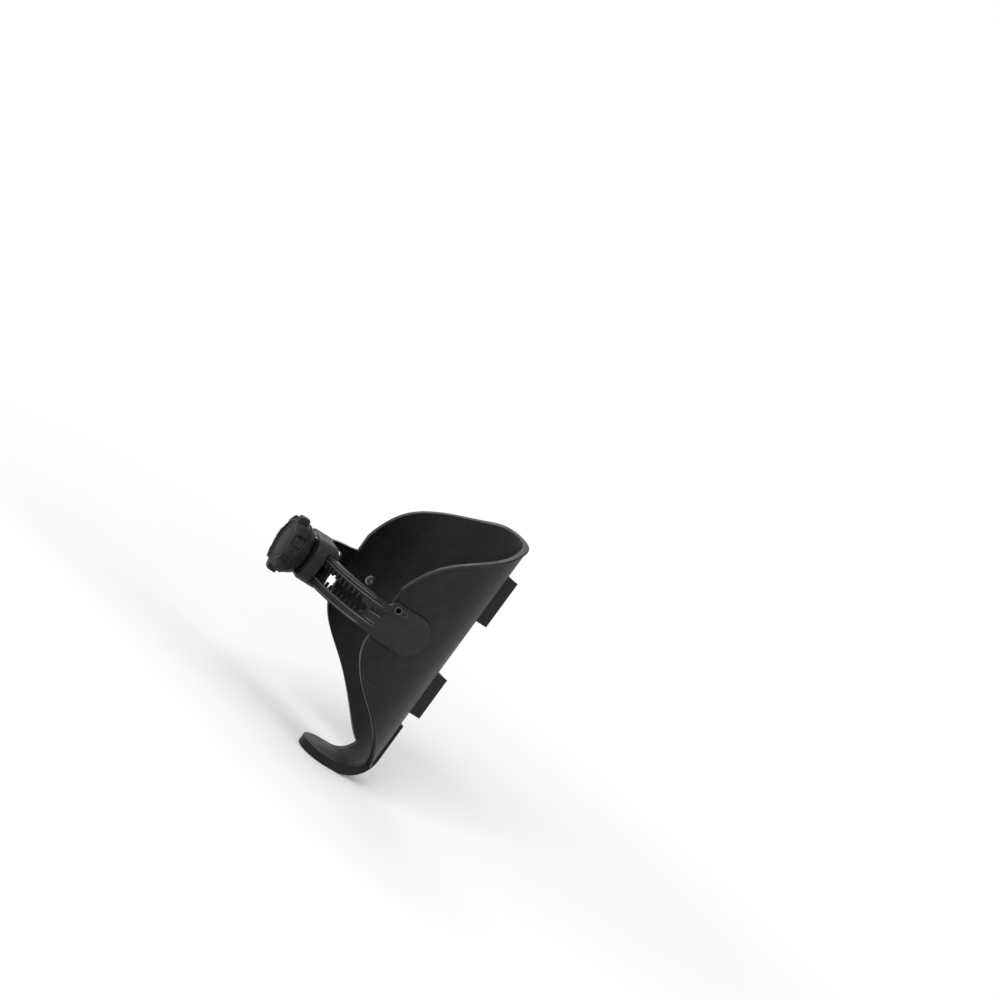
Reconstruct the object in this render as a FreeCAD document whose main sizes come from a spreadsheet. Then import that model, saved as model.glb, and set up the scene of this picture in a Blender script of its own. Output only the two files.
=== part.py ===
import FreeCAD, Part
import math
import os
import re
import Sketcher
from FreeCAD import Placement, Rotation, Vector

# Adjustable cage: a moulded cradle on two saddle pads, closed in front by two toothed straps.
# The straps overlap under an adjuster, where one pinion, turned by a knob, drives both racks.
# Frame: +Z up along the cradle's axis, +X from the pads to the knob, +Y to the near wing.
# The origin is midway between the two mounting bolts, on the crown line of the pads' saddles.

SIZES = [
    # Cradle
    ("cradle_radius", 41.3, "inner radius of the cradle"),
    ("cradle_wall", 3.0, "wall of the wings and the back plate"),
    ("cradle_top", 64.3, "height of the rounded top of the back plate"),
    ("wing_reach", 12.5, "front edge of the wings, forward of the cradle's axis"),
    ("wing_corner", 15.5, "height of the wing's upper front corner"),
    ("wing_heel", -13.5, "height of the wing's lower front corner"),
    ("skirt_bottom", -80.0, "height where the narrowing skirt runs into the foot"),
    # Foot
    ("foot_top", -84.5, "height of the foot's upper face"),
    ("foot_wall", 4.5, "wall of the foot"),
    ("foot_root", -50.0, "height where the foot's plate starts on the back plate"),
    ("foot_width", 28.0, "width of the foot"),
    ("foot_tip", -8.0, "front end of the foot, from the cradle's axis"),
    ("foot_bend", 16.4, "outer radius of the bend into the foot"),
    ("heel_radius", 12.0, "inner radius of the cradle's heel"),
    # Saddle pads
    ("tube_radius", 14.5, "radius of the saddle in the pads"),
    ("pad_height", 3.0, "height of a pad between its saddle's crown and the back plate"),
    ("pad_width", 20.0, "width of a pad across its saddle"),
    ("pad_wrap", 3.4, "how far a pad reaches down beside its saddle's crown"),
    ("upper_pad_length", 28.0, "length of the upper pad along its saddle"),
    ("lower_pad_length", 25.0, "length of the lower pad along its saddle"),
    ("pad_offset", 1.5, "how far each pad's centre lies towards the other from its bolt"),
    # Mounting bolts
    ("bolt_spacing", 64.0, "distance between the two mounting bolts"),
    ("bolt_hole_radius", 2.7, "half width of a bolt slot"),
    ("bolt_slot_length", 9.0, "length of a bolt slot, end to end"),
    ("bolt_head_radius", 5.4, "half width of the pocket for a bolt's head"),
    ("bolt_head_depth", 3.2, "depth of the pocket for a bolt's head, from the cradle's face"),
    ("boss_wall", 1.6, "wall around the pocket for a bolt's head"),
    ("boss_clearance", 0.2, "gap between a boss and its pad, and below the boss"),
    # Straps
    ("strap_height", -3.0, "height of the straps' middle"),
    ("strap_width", 17.4, "width of a strap's band"),
    ("strap_web", 1.5, "thickness of a strap's band"),
    ("rail_height", 0.6, "height of the rails along a strap's edges"),
    ("rail_width", 1.7, "width of the rails along a strap's edges"),
    ("layer_gap", 0.15, "running gap between a strap and the adjuster"),
    ("lap_gap", 0.45, "running gap between the two straps where they lap"),
    ("tail_angle", -45.0, "end of the outer strap's tail, round the cradle from the knob"),
    ("inner_tail_angle", -64.0, "end of the inner strap's tail, round the cradle from the knob"),
    ("jog_start", 65.0, "angle where a strap starts to step over to its root"),
    ("jog_end", 72.0, "angle where a strap's root reaches its seat on the wing"),
    ("slot_end", 63.0, "angle of the round end of the toothed slot"),
    ("slot_tail_land", 2.5, "angle of solid band between the slot and the tail's end"),
    ("slot_half", 4.2, "distance of the slot's smooth edge from the strap's middle"),
    # Strap roots
    ("root_angle", 95.0, "angle of the centre of the strap's round root"),
    ("root_radius", 11.0, "radius of the strap's round root"),
    ("root_lift", 1.4, "how far a root's middle lies from its band's middle, towards the small hole"),
    ("root_wall", 2.1, "thickness of the strap's root"),
    ("recess_wall", 2.1, "wall left in the wing under the strap's root"),
    ("recess_gap", 0.3, "gap around the strap's root in its recess"),
    ("seat_gap", 0.1, "gap between the strap's root and the wing"),
    ("ledge_height", 4.5, "height of the ledge along the strap's root, from its middle"),
    ("ledge_depth", 0.5, "depth of the ledge along the strap's root"),
    ("eyelet_angle", 80.0, "angle of the small hole in the strap's root"),
    ("eyelet_height", 8.8, "height of the small hole, from the strap's middle"),
    ("eyelet_radius", 1.25, "radius of the small hole in the strap's root"),
    # Racks and pinion
    ("tooth_step", 3.9, "angle from one rack tooth to the next, round the cradle"),
    ("rack_tip", 2.2, "distance of the rack's tooth tips from the strap's middle"),
    ("rack_root", 5.3, "distance of the rack's tooth roots from the strap's middle"),
    ("rack_tip_width", 0.5, "width of a rack tooth at its tip"),
    ("rack_root_width", 1.75, "width of a rack tooth at its root"),
    ("pinion_teeth", 7, "number of teeth of the pinion"),
    ("pinion_tip_radius", 3.9, "radius over the pinion's teeth"),
    ("pinion_root_radius", 1.95, "radius between the pinion's teeth"),
    ("pinion_tip_width", 0.6, "width of a pinion tooth at its tip"),
    ("pinion_root_width", 1.25, "width of a pinion tooth at its root"),
    ("shaft_radius", 3.0, "radius of the pinion's shaft"),
    ("shaft_square", 4.2, "width of the square end of the shaft"),
    ("square_length", 6.8, "length of the square end of the shaft"),
    ("pilot_radius", 1.3, "radius of the pinion's pilot pin"),
    ("running_gap", 0.05, "radial clearance of the shaft and the pilot pin"),
    # Adjuster
    ("plate_wall", 0.9, "wall of the plate behind the straps"),
    ("housing_wall", 4.35, "wall of the housing between the strap channel and its front face"),
    ("housing_width", 31.0, "width of the housing round the cradle"),
    ("housing_side", 3.0, "wall of the housing beside the strap channel, on average"),
    ("housing_lift", 0.8, "how far the housing's middle lies above the straps' middle"),
    ("housing_corner", 8.0, "radius of the housing's corners"),
    ("housing_edge", 2.0, "radius of the housing's front edge"),
    ("channel_gap", 0.25, "gap between a strap's edge and the channel, at each side"),
    ("plate_screw_radius", 0.6, "radius of a plate screw's shank"),
    ("plate_screw_head", 1.2, "radius of a plate screw's countersunk head"),
    ("plate_screw_sink", 0.65, "depth of a plate screw's countersunk head"),
    ("plate_screw_length", 6.0, "length of a plate screw"),
    # Detent spring
    ("spring_length", 13.0, "length of the detent spring"),
    ("spring_width", 4.0, "width of the detent spring"),
    ("spring_wall", 0.4, "thickness of the detent spring"),
    ("spring_height", 9.8, "distance of the detent's nose from the knob's axis"),
    ("spring_pocket", 1.0, "depth of the pocket for the detent spring"),
    ("nose_radius", 1.0, "radius of the detent's nose"),
    ("dimple_count", 14, "number of dimples under the knob"),
    ("dimple_radius", 1.2, "radius of a dimple under the knob"),
    ("dimple_depth", 0.4, "depth of a dimple under the knob"),
    # Knob
    ("washer_wall", 0.4, "thickness of the washer under the knob"),
    ("washer_radius", 7.5, "outer radius of the washer under the knob"),
    ("skirt_radius", 13.4, "radius of the knob's skirt behind its lobes"),
    ("skirt_depth", 6.2, "depth of the knob's skirt behind its lobes"),
    ("knob_radius", 16.2, "radius over the knob's lobes"),
    ("knob_valley", 13.9, "radius between the knob's lobes"),
    ("knob_depth", 12.2, "depth of the knob from its back to its face"),
    ("lobe_count", 8, "number of lobes around the knob"),
    ("lobe_root_width", 6.6, "width of a lobe at its root"),
    ("lobe_tip_width", 5.0, "width of a lobe at its tip"),
    ("lobe_setback", 0.8, "how far the lobes end behind the knob's face"),
    ("dish_radius", 11.6, "radius of the shallow dish in the knob's face"),
    ("dish_depth", 0.9, "depth of the dish in the knob's face"),
    ("cap_radius", 8.2, "radius of the cap in the knob's face"),
    ("cap_wall", 1.1, "thickness of the cap at its rim"),
    ("cap_crown", 0.5, "height of the cap's crown above its rim"),
    ("fit_gap", 0.05, "gap of a close fit between pieces that stay together"),
    ("knob_floor", 1.5, "wall of the knob under the screw's head"),
    ("screw_radius", 1.45, "radius of the knob screw's shank"),
    ("screw_length", 5.0, "length of the knob screw below its head"),
    ("screw_head_radius", 2.8, "radius of the knob screw's head"),
    ("screw_head_height", 1.8, "height of the knob screw's head"),
    ("screw_hex", 2.0, "distance from side to side of the knob screw's hexagon"),
    # Rivets
    ("rivet_radius", 1.6, "radius of a strap rivet's shank"),
    ("rivet_head_radius", 3.2, "radius of a strap rivet's head"),
    ("rivet_head_wall", 0.8, "thickness of a strap rivet's head"),
    ("rivet_cover", 0.5, "wall of the strap's root over the rivet's end"),
]

doc = FreeCAD.newDocument("adjustable_bottle_cage")
sheet = doc.addObject("Spreadsheet::Sheet", "Sizes")
for row, (alias, amount, meaning) in enumerate(SIZES, start=1):
    sheet.set(f"A{row}", meaning)
    sheet.set(f"B{row}", str(amount))
    sheet.setAlias(f"B{row}", alias)
doc.recompute()

WORD = re.compile(r"\b(" + "|".join(alias for alias, amount, meaning in SIZES) + r")\b")

# Radii of the layers at the front, from the cradle's axis outwards
AXIS = "(pad_height + cradle_wall + cradle_radius)"
PLATE_OUT = "(cradle_radius + plate_wall)"
INNER_BAND = f"({PLATE_OUT} + layer_gap)"
INNER_RAIL = f"({INNER_BAND} + strap_web + rail_height)"
OUTER_BAND = f"({INNER_RAIL} + lap_gap)"
OUTER_RAIL = f"({OUTER_BAND} + strap_web + rail_height)"
CHANNEL_OUT = f"({OUTER_RAIL} + layer_gap)"
WING_OUT = "(cradle_radius + cradle_wall)"
RECESS_FLOOR = "(cradle_radius + recess_wall)"
ROOT_IN = f"({RECESS_FLOOR} + seat_gap)"
FRONT = f"({CHANNEL_OUT} + housing_wall)"
HOUSING_TALL = "(strap_width + 2 * channel_gap + 2 * housing_side)"
SCREW_HEIGHT = "(strap_width / 2 + channel_gap + housing_side / 2)"
SCREW_ANGLE = "asin((housing_width / 2 - housing_corner) / cradle_radius)"
KNOB_BACK = f"({FRONT} + washer_wall + 2 * running_gap)"
KNOB_FACE = f"({KNOB_BACK} + knob_depth)"
SQUARE_END = f"({KNOB_BACK} + square_length)"
HEAD_SEAT = f"({SQUARE_END} + knob_floor)"
CAP_SEAT = f"({KNOB_FACE} - dish_depth - cap_wall)"


def num(text):
    """The value of a formula in the sheet's words, in millimetres or degrees."""
    return float(sheet.evalExpression(text))


def bind(item, prop, text):
    """Tie a property of an object to a formula in the sheet's words."""
    item.setExpression(prop, WORD.sub(r"Sizes.\g<0>", text))


def polar(radius, degrees):
    """A point at a distance and an angle from the cradle's axis."""
    angle = math.radians(degrees)
    return Vector(radius * math.cos(angle), radius * math.sin(angle), 0)


# Sketches and PartDesign bodies


def new_body(label, x="0", y="0", z="0"):
    body = doc.addObject("PartDesign::Body", label)
    body.Label = label
    for axis, text in zip("xyz", (x, y, z)):
        bind(body, f"Placement.Base.{axis}", text)
    return body


def new_sketch(body, name, role, offset="0"):
    sketch = body.newObject("Sketcher::SketchObject", name)
    plane = next(item for item in body.Origin.OriginFeatures if item.Role == role)
    sketch.AttachmentSupport = [(plane, "")]
    sketch.MapMode = "FlatFace"
    bind(sketch, "AttachmentOffset.Base.z", offset)
    return sketch


def fix_point(sketch, geometry, point, x, y):
    """Hold one point of a sketch at two formulas from the sketch's origin."""
    for kind, axis, text in (("DistanceX", -2, x), ("DistanceY", -1, y)):
        if text == "0":
            sketch.addConstraint(Sketcher.Constraint("PointOnObject", geometry, point, axis))
            continue
        index = sketch.addConstraint(Sketcher.Constraint(kind, -1, 1, geometry, point, num(text)))
        bind(sketch, f"Constraints[{index}]", text)


def draw_polygon(sketch, corners):
    """A closed outline of straight lines, with a pair of formulas for each corner."""
    first = sketch.GeometryCount
    count = len(corners)
    points = [Vector(num(x), num(y), 0) for x, y in corners]
    for i in range(count):
        sketch.addGeometry(Part.LineSegment(points[i], points[(i + 1) % count]), False)
    for i in range(count):
        following = first + (i + 1) % count
        sketch.addConstraint(Sketcher.Constraint("Coincident", first + i, 2, following, 1))
    for i, (x, y) in enumerate(corners):
        fix_point(sketch, first + i, 1, x, y)


def draw_circle(sketch, radius, x="0", y="0"):
    shape = Part.Circle(Vector(num(x), num(y), 0), Vector(0, 0, 1), num(radius))
    geometry = sketch.addGeometry(shape, False)
    fix_point(sketch, geometry, 3, x, y)
    index = sketch.addConstraint(Sketcher.Constraint("Radius", geometry, num(radius)))
    bind(sketch, f"Constraints[{index}]", radius)


def draw_rectangle(sketch, half_x, half_y, x="0", y="0"):
    left, right = f"{x} - ({half_x})", f"{x} + ({half_x})"
    low, high = f"{y} - ({half_y})", f"{y} + ({half_y})"
    draw_polygon(sketch, [(left, low), (right, low), (right, high), (left, high)])


def pad(body, sketch, length):
    feature = body.newObject("PartDesign::Pad", sketch.Name + "_pad")
    feature.Profile = sketch
    bind(feature, "Length", length)
    doc.recompute()
    return feature


def pocket(body, sketch, length, midplane=False, backwards=False):
    """Cut a sketch into the body, and make sure that it removed something."""
    before = body.Shape.Volume
    feature = body.newObject("PartDesign::Pocket", sketch.Name + "_pocket")
    feature.Profile = sketch
    feature.Midplane = midplane
    feature.Reversed = backwards
    bind(feature, "Length", length)
    doc.recompute()
    if body.Shape.Volume > before - 1e-6:
        raise RuntimeError(f"{feature.Name} removes nothing")
    return feature


def repeat_around(body, feature, sketch, count):
    """Repeat a feature around the axis normal to its sketch."""
    pattern = body.newObject("PartDesign::PolarPattern", feature.Name + "_pattern")
    pattern.Originals = [feature]
    pattern.Axis = (sketch, ["N_Axis"])
    pattern.Angle = 360
    bind(pattern, "Occurrences", count)
    body.Tip = pattern
    doc.recompute()
    return pattern


def turned(label, profile, x="0", y="0", z="0"):
    """A body turned about its own X axis from a profile of (distance along the axis, radius)."""
    body = new_body(label, x, y, z)
    sketch = new_sketch(body, label + "_profile", "XY_Plane")
    draw_polygon(sketch, profile)
    revolution = body.newObject("PartDesign::Revolution", label + "_turned")
    revolution.Profile = sketch
    revolution.ReferenceAxis = (sketch, ["H_Axis"])
    revolution.Angle = 360
    doc.recompute()
    return body


def round_edges(body, name, radius, wanted):
    """Fillet the edges of a body that the given test picks."""
    base = body.Tip
    names = [f"Edge{i}" for i, edge in enumerate(base.Shape.Edges, start=1) if wanted(edge)]
    fillet = body.newObject("PartDesign::Fillet", name)
    fillet.Base = (base, names)
    bind(fillet, "Radius", radius)
    body.Tip = fillet
    doc.recompute()


# Part primitives and booleans


def cylinder(name, radius, height, x="0", y="0", z="0", rotation=None):
    item = doc.addObject("Part::Cylinder", name)
    if rotation:
        item.Placement = Placement(Vector(), rotation)
    bind(item, "Radius", radius)
    bind(item, "Height", height)
    for axis, text in zip("xyz", (x, y, z)):
        bind(item, f"Placement.Base.{axis}", text)
    return item


def box(name, x, y, z):
    """A block between two formulas along each axis."""
    item = doc.addObject("Part::Box", name)
    for axis, size, (low, high) in zip("xyz", ("Length", "Width", "Height"), (x, y, z)):
        bind(item, f"Placement.Base.{axis}", low)
        bind(item, size, f"({high}) - ({low})")
    return item


def fuse(name, items):
    item = doc.addObject("Part::MultiFuse", name)
    item.Shapes = items
    return item


def common(name, items):
    item = doc.addObject("Part::MultiCommon", name)
    item.Shapes = items
    return item


def cut(name, base, tool):
    item = doc.addObject("Part::Cut", name)
    item.Base = base
    item.Tool = tool
    return item


def solid(name, shape, x="0", z="0"):
    """A shape made in code, placed at two formulas."""
    item = doc.addObject("Part::Feature", name)
    item.Shape = shape
    item.Placement = Placement(Vector(num(x), 0, num(z)), Rotation()) * shape.Placement
    return item


def sector(inner, outer, start, end, low, high):
    """A block of a ring between two radii, two angles and two heights."""
    middle = (start + end) / 2
    outline = [
        Part.Arc(polar(inner, start), polar(inner, middle), polar(inner, end)).toShape(),
        Part.makeLine(polar(inner, end), polar(outer, end)),
        Part.Arc(polar(outer, end), polar(outer, middle), polar(outer, start)).toShape(),
        Part.makeLine(polar(outer, start), polar(inner, start)),
    ]
    block = Part.Face(Part.Wire(outline)).extrude(Vector(0, 0, high - low))
    block.translate(Vector(0, 0, low))
    return block


def spoke(radius, inner, outer, angle, height):
    """A round bar along a radius of the cradle."""
    start = polar(inner, angle) + Vector(0, 0, height)
    return Part.makeCylinder(radius, outer - inner, start, polar(1, angle))


# Cage body: the cradle's shell, cut to its leaf-shaped outline, with the foot and two bolt bosses


def shell_outline():
    """Side view of the shell as a prism. Each edge is a spline through (angle, share of its height)."""
    outer = num(WING_OUT)
    reach = num("wing_reach")
    top, corner = num("cradle_top"), num("wing_corner")
    bottom, heel = num("skirt_bottom"), num("wing_heel")
    back = -outer - num("cradle_wall")
    upper = [(77, 0.154), (89, 0.44), (100, 0.576), (114, 0.70), (137, 0.871), (153, 0.969)]
    lower = [(74.5, 0.09), (83, 0.263), (96, 0.406), (111, 0.541), (126, 0.692), (142, 0.857), (155, 0.95)]

    def edge(points, start, end):
        places = [Vector(reach, 0, start)]
        for angle, share in points:
            places.append(Vector(polar(outer, angle).x, 0, start + share * (end - start)))
        places.append(Vector(back, 0, end))
        curve = Part.BSplineCurve()
        curve.interpolate(places)
        return curve.toShape()

    outline = [
        edge(upper, corner, top),
        Part.makeLine(Vector(back, 0, top), Vector(back, 0, bottom)),
        edge(lower, heel, bottom),
        Part.makeLine(Vector(reach, 0, heel), Vector(reach, 0, corner)),
    ]
    wire = Part.Wire(Part.__sortEdges__(outline))
    prism = Part.Face(wire).extrude(Vector(0, 4 * outer, 0))
    prism.translate(Vector(0, -2 * outer, 0))
    return prism


def foot_shape():
    """The plate that runs down from the shell and bends forward into the foot."""
    outer, wall, bend = num(WING_OUT), num("foot_wall"), num("foot_bend")
    half, tip = num("foot_width") / 2, num("foot_tip")
    start = num("foot_root")
    bottom = num("foot_top") - wall
    centre = Vector(bend - outer, 0, bottom + bend)
    slant = Vector(-math.sqrt(0.5), 0, -math.sqrt(0.5))
    inner_bend = bend - wall
    corners = [
        Vector(-outer, 0, start),
        Vector(-outer, 0, centre.z),
        Vector(centre.x, 0, bottom),
        Vector(tip, 0, bottom),
        Vector(tip, 0, bottom + wall),
        Vector(centre.x, 0, bottom + wall),
        Vector(wall - outer, 0, centre.z),
        Vector(wall - outer, 0, start),
    ]
    outline = [
        Part.makeLine(corners[0], corners[1]),
        Part.Arc(corners[1], centre + slant * bend, corners[2]).toShape(),
        Part.makeLine(corners[2], corners[3]),
        Part.makeLine(corners[3], corners[4]),
        Part.makeLine(corners[4], corners[5]),
        Part.Arc(corners[5], centre + slant * inner_bend, corners[6]).toShape(),
        Part.makeLine(corners[6], corners[7]),
        Part.makeLine(corners[7], corners[0]),
    ]
    profile = Part.Face(Part.Wire(outline)).extrude(Vector(0, 2 * half, 0))
    profile.translate(Vector(0, -half, 0))
    low = bottom - wall
    straight = Part.makeBox(outer + tip, 2 * half, start - low, Vector(-outer - half, -half, low))
    nose = Part.makeCylinder(half, start - low, Vector(tip - half, 0, low))
    return profile.common(straight.fuse(nose))


def cradle_room():
    """The space inside the cradle, with a rounded heel, down to the foot."""
    radius, low, high = num("cradle_radius"), num("foot_top"), num("cradle_top")
    room = Part.makeCylinder(radius, 2 * high - low, Vector(0, 0, low))
    heel = [edge for edge in room.Edges if edge.Closed and abs(edge.CenterOfMass.z - low) < 1e-6]
    return room.makeFillet(num("heel_radius"), heel)


def strap_recess(side):
    """The round-ended seat of a strap's root in the outside of a wing."""
    reach = num("wing_reach")
    radius = num("root_radius + recess_gap")
    middle = polar(num(WING_OUT), num("root_angle")).x
    span = 2 * num(WING_OUT)
    turn = Vector(0, side, 0)
    round_end = Part.makeCylinder(radius, span, Vector(middle, 0, 0), turn)
    start = Vector(middle, min(0, side * span), -radius)
    straight = Part.makeBox(2 * reach - middle, span, 2 * radius, start)
    core = Part.makeCylinder(num(RECESS_FLOOR), 4 * radius, Vector(0, 0, -2 * radius))
    return round_end.fuse(straight).cut(core)


def head_pocket(name, z):
    """The pocket for a mounting bolt's head, slotted like its hole."""
    start = "pad_height + cradle_wall - bolt_head_depth"
    return slotted(name, "bolt_head_radius", start, "pad_height + 2 * cradle_wall", z)


def slotted(name, radius, start, end, z):
    """A slot along X with round ends, as long as the bolt slot allows a bolt to shift."""
    shift = "(bolt_slot_length / 2 - bolt_hole_radius)"
    along_x = Rotation(Vector(0, 1, 0), 90)
    length = f"({end}) - ({start})"
    ends = [
        cylinder(f"{name}_{word}", radius, length, x=start, z=f"{z} {sign} {shift}", rotation=along_x)
        for word, sign in (("high", "+"), ("low", "-"))
    ]
    across, along = (f"-({radius})", radius), (f"{z} - {shift}", f"{z} + {shift}")
    middle = box(f"{name}_middle", (start, end), across, along)
    return fuse(name, ends + [middle])


def make_cage_body():
    tall, low = "2 * (cradle_top - skirt_bottom)", "2 * skirt_bottom"
    shell = cut(
        "shell_ring",
        cylinder("shell_outside", WING_OUT, tall, x=AXIS, z=low),
        cylinder("shell_inside", "cradle_radius", tall, x=AXIS, z=low),
    )
    leaf = common("shell_leaf", [shell, solid("leaf_outline", shell_outline(), x=AXIS)])
    foot = solid("foot", foot_shape(), x=AXIS)
    parts = [leaf, foot]
    holes = [solid("cradle_room", cradle_room(), x=AXIS)]
    for word, sign in (("upper", ""), ("lower", "-")):
        z = f"{sign}bolt_spacing / 2"
        floor = "boss_clearance"
        boss_radius = "bolt_head_radius + boss_wall"
        parts.append(slotted(f"{word}_boss", boss_radius, floor, "pad_height + cradle_wall / 2", z))
        holes.append(slotted(f"{word}_bolt_slot", "bolt_hole_radius", "-pad_height", "2 * pad_height", z))
        holes.append(head_pocket(f"{word}_head_pocket", z))
    for word, side in (("near", 1), ("far", -1)):
        height = f"strap_height + {side} * root_lift"
        holes.append(solid(f"{word}_recess", strap_recess(side), x=AXIS, z=height))
        angle = side * num("root_angle")
        face = num("cradle_radius")
        shank = spoke(num("rivet_radius + running_gap"), face, num(WING_OUT), angle, 0)
        seat_depth = num("rivet_head_wall + 2 * seat_gap")
        seat = spoke(num("rivet_head_radius + seat_gap"), face / 2, face + seat_depth, angle, 0)
        holes.append(solid(f"{word}_rivet_hole", shank.fuse(seat), x=AXIS, z=height))
    return cut("cage_body", fuse("cage_solids", parts), fuse("cage_holes", holes))


# Pads: rubber saddles behind the back plate, with a window for the bolt's boss


def make_pad(word, sign):
    bolt = f"{sign}bolt_spacing / 2"
    toward = "-" if sign == "" else "+"
    middle = f"{bolt} {toward} pad_offset"
    half = f"{word}_pad_length / 2"
    height = f"{word}_pad_length"
    start = f"{middle} - {half}"
    block = box(
        f"{word}_pad_block",
        ("-pad_wrap", "pad_height + cradle_wall"),
        ("-pad_width / 2", "pad_width / 2"),
        (start, f"{middle} + {half}"),
    )
    boss_radius = "bolt_head_radius + boss_wall + boss_clearance"
    tools = [
        cylinder(f"{word}_pad_tube", "tube_radius", height, x="-tube_radius", z=start),
        cylinder(f"{word}_pad_back", WING_OUT, height, x=AXIS, z=start),
        slotted(f"{word}_pad_window", boss_radius, "-2 * pad_wrap", "2 * pad_height", bolt),
    ]
    return cut(f"{word}_tube_pad", block, fuse(f"{word}_pad_tools", tools))


# Straps: a toothed band round the cradle that steps over to a round root on the wing


def strap_plan(front, tail):
    """Top view of a strap, with its root on the near wing."""
    web, root, root_wall = num("strap_web"), num(ROOT_IN), num("root_wall")
    start, finish = num("jog_start"), num("jog_end")
    end = num("root_angle") + math.degrees(2 * num("root_radius") / root)
    inside = [polar(front, start), polar(root, finish)]
    outside = [polar(root + root_wall, finish), polar(front + web, start)]

    def bow(radius, a, b):
        return Part.Arc(polar(radius, a), polar(radius, (a + b) / 2), polar(radius, b)).toShape()

    outline = [
        bow(front, tail, start),
        Part.makeLine(*inside),
        bow(root, finish, end),
        Part.makeLine(polar(root, end), polar(root + root_wall, end)),
        bow(root + root_wall, end, finish),
        Part.makeLine(*outside),
        bow(front + web, start, tail),
        Part.makeLine(polar(front + web, tail), polar(front, tail)),
    ]
    height = 2 * num("root_radius")
    plan = Part.Face(Part.Wire(outline)).extrude(Vector(0, 0, height))
    plan.translate(Vector(0, 0, num("root_lift") - height / 2))
    return plan


def strap_side():
    """Side view of a strap as a prism: the band, the wider root and its round end."""
    reach, radius, half = num("wing_reach"), num("root_radius"), num("strap_width") / 2
    middle = polar(num(WING_OUT), num("root_angle")).x
    span = 4 * num(WING_OUT)
    low, lift = -span / 2, num("root_lift")
    band = Part.makeBox(span, span, 2 * half, Vector(middle, low, -half))
    root = Part.makeBox(reach - middle, span, 2 * radius, Vector(middle, low, lift - radius))
    round_end = Part.makeCylinder(radius, span, Vector(middle, low, lift), Vector(0, 1, 0))
    return band.fuse([root, round_end])


def rack_gaps(front, tail, first):
    """The gaps between the teeth on the slot's upper edge, as one compound."""
    step = num("tooth_step")
    web = num("strap_web")
    middle = front + web / 2
    pitch = math.radians(step) * middle
    tip, root = num("rack_tip"), num("rack_root")
    half_tip = (pitch - num("rack_tip_width")) / 2
    half_root = (pitch - num("rack_root_width")) / 2
    flare = (half_tip - half_root) / (root - tip)
    below = tip - web
    half_below = half_tip + flare * web
    start = tail + num("slot_tail_land")
    stop = num("slot_end") - math.degrees(num("slot_half") / middle)
    margin = math.degrees(half_tip / middle)
    gaps = []
    count = int((stop - start) / step) + 2
    for index in range(-count, count):
        angle = (index + first) * step
        if angle - margin < start or angle + margin > stop:
            continue
        corners = [(-half_below, below), (half_below, below), (half_root, root), (-half_root, root)]
        points = [Vector(front - web, y, z) for y, z in corners]
        gap = Part.Face(Part.makePolygon(points + points[:1])).extrude(Vector(3 * web, 0, 0))
        gap.rotate(Vector(), Vector(0, 0, 1), angle)
        gaps.append(gap)
    return gaps


def strap_shape(front, tail, first):
    """A whole strap with its root on the near wing and its teeth on the upper edge of the slot."""
    web, half = num("strap_web"), num("strap_width") / 2
    rail, rail_width = num("rail_height"), num("rail_width")
    shape = strap_plan(front, tail).common(strap_side())
    for low in (-half, half - rail_width):
        shape = shape.fuse(
            sector(front + web / 2, front + web + rail, tail, num("jog_start"), low, low + rail_width)
        )
    tip, smooth = num("rack_tip"), num("slot_half")
    round_radius = (tip + smooth) / 2
    round_height = (tip - smooth) / 2
    round_angle = num("slot_end") - math.degrees(round_radius / front)
    slot = sector(
        front - web, front + 2 * web, tail + num("slot_tail_land"), round_angle, -smooth, tip
    )
    slot_round = spoke(round_radius, front - web, front + 2 * web, round_angle, round_height)
    root = num(ROOT_IN)
    outside = root + num("root_wall")
    ledge_low, ledge_start = num("ledge_height"), num("jog_end")
    ledge = sector(
        outside - num("ledge_depth"), outside + web, ledge_start, 2 * num("root_angle") - ledge_start,
        ledge_low, 2 * half,
    )
    eyelet = spoke(
        num("eyelet_radius"), root - web, outside + web, num("eyelet_angle"), num("eyelet_height")
    )
    rivet = spoke(
        num("rivet_radius + running_gap"), root - web, outside - num("rivet_cover"), num("root_angle"),
        num("root_lift"),
    )
    return shape.cut([slot, slot_round, ledge, eyelet, rivet] + rack_gaps(front, tail, first))


def make_straps():
    outer = strap_shape(num(OUTER_BAND), num("tail_angle"), 0)
    inner = strap_shape(num(INNER_BAND), num("inner_tail_angle"), 0.5)
    inner.rotate(Vector(), Vector(1, 0, 0), 180)
    return [
        solid("near_strap", outer, x=AXIS, z="strap_height"),
        solid("far_strap", inner, x=AXIS, z="strap_height"),
    ]


def make_rivet(word, side):
    """A rivet through the wing into a strap's root, with its head let into the cradle's face."""
    head = "(cradle_radius + 2 * seat_gap)"
    shoulder = f"({head} + rivet_head_wall)"
    end = f"({ROOT_IN} + root_wall - rivet_cover - seat_gap)"
    profile = [
        (head, "0"),
        (end, "0"),
        (end, "rivet_radius"),
        (shoulder, "rivet_radius"),
        (shoulder, "rivet_head_radius"),
        (head, "rivet_head_radius"),
    ]
    body = turned(f"{word}_strap_rivet", profile, AXIS, "0", f"strap_height + {side} * root_lift")
    body.Placement.Rotation = Rotation(Vector(0, 0, 1), side * num("root_angle"))
    bind(body, "Placement.Rotation.Angle", f"{side} * root_angle")
    return body


# Adjuster: housing with the strap channel, its back plate, screws, detent spring and washer


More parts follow.
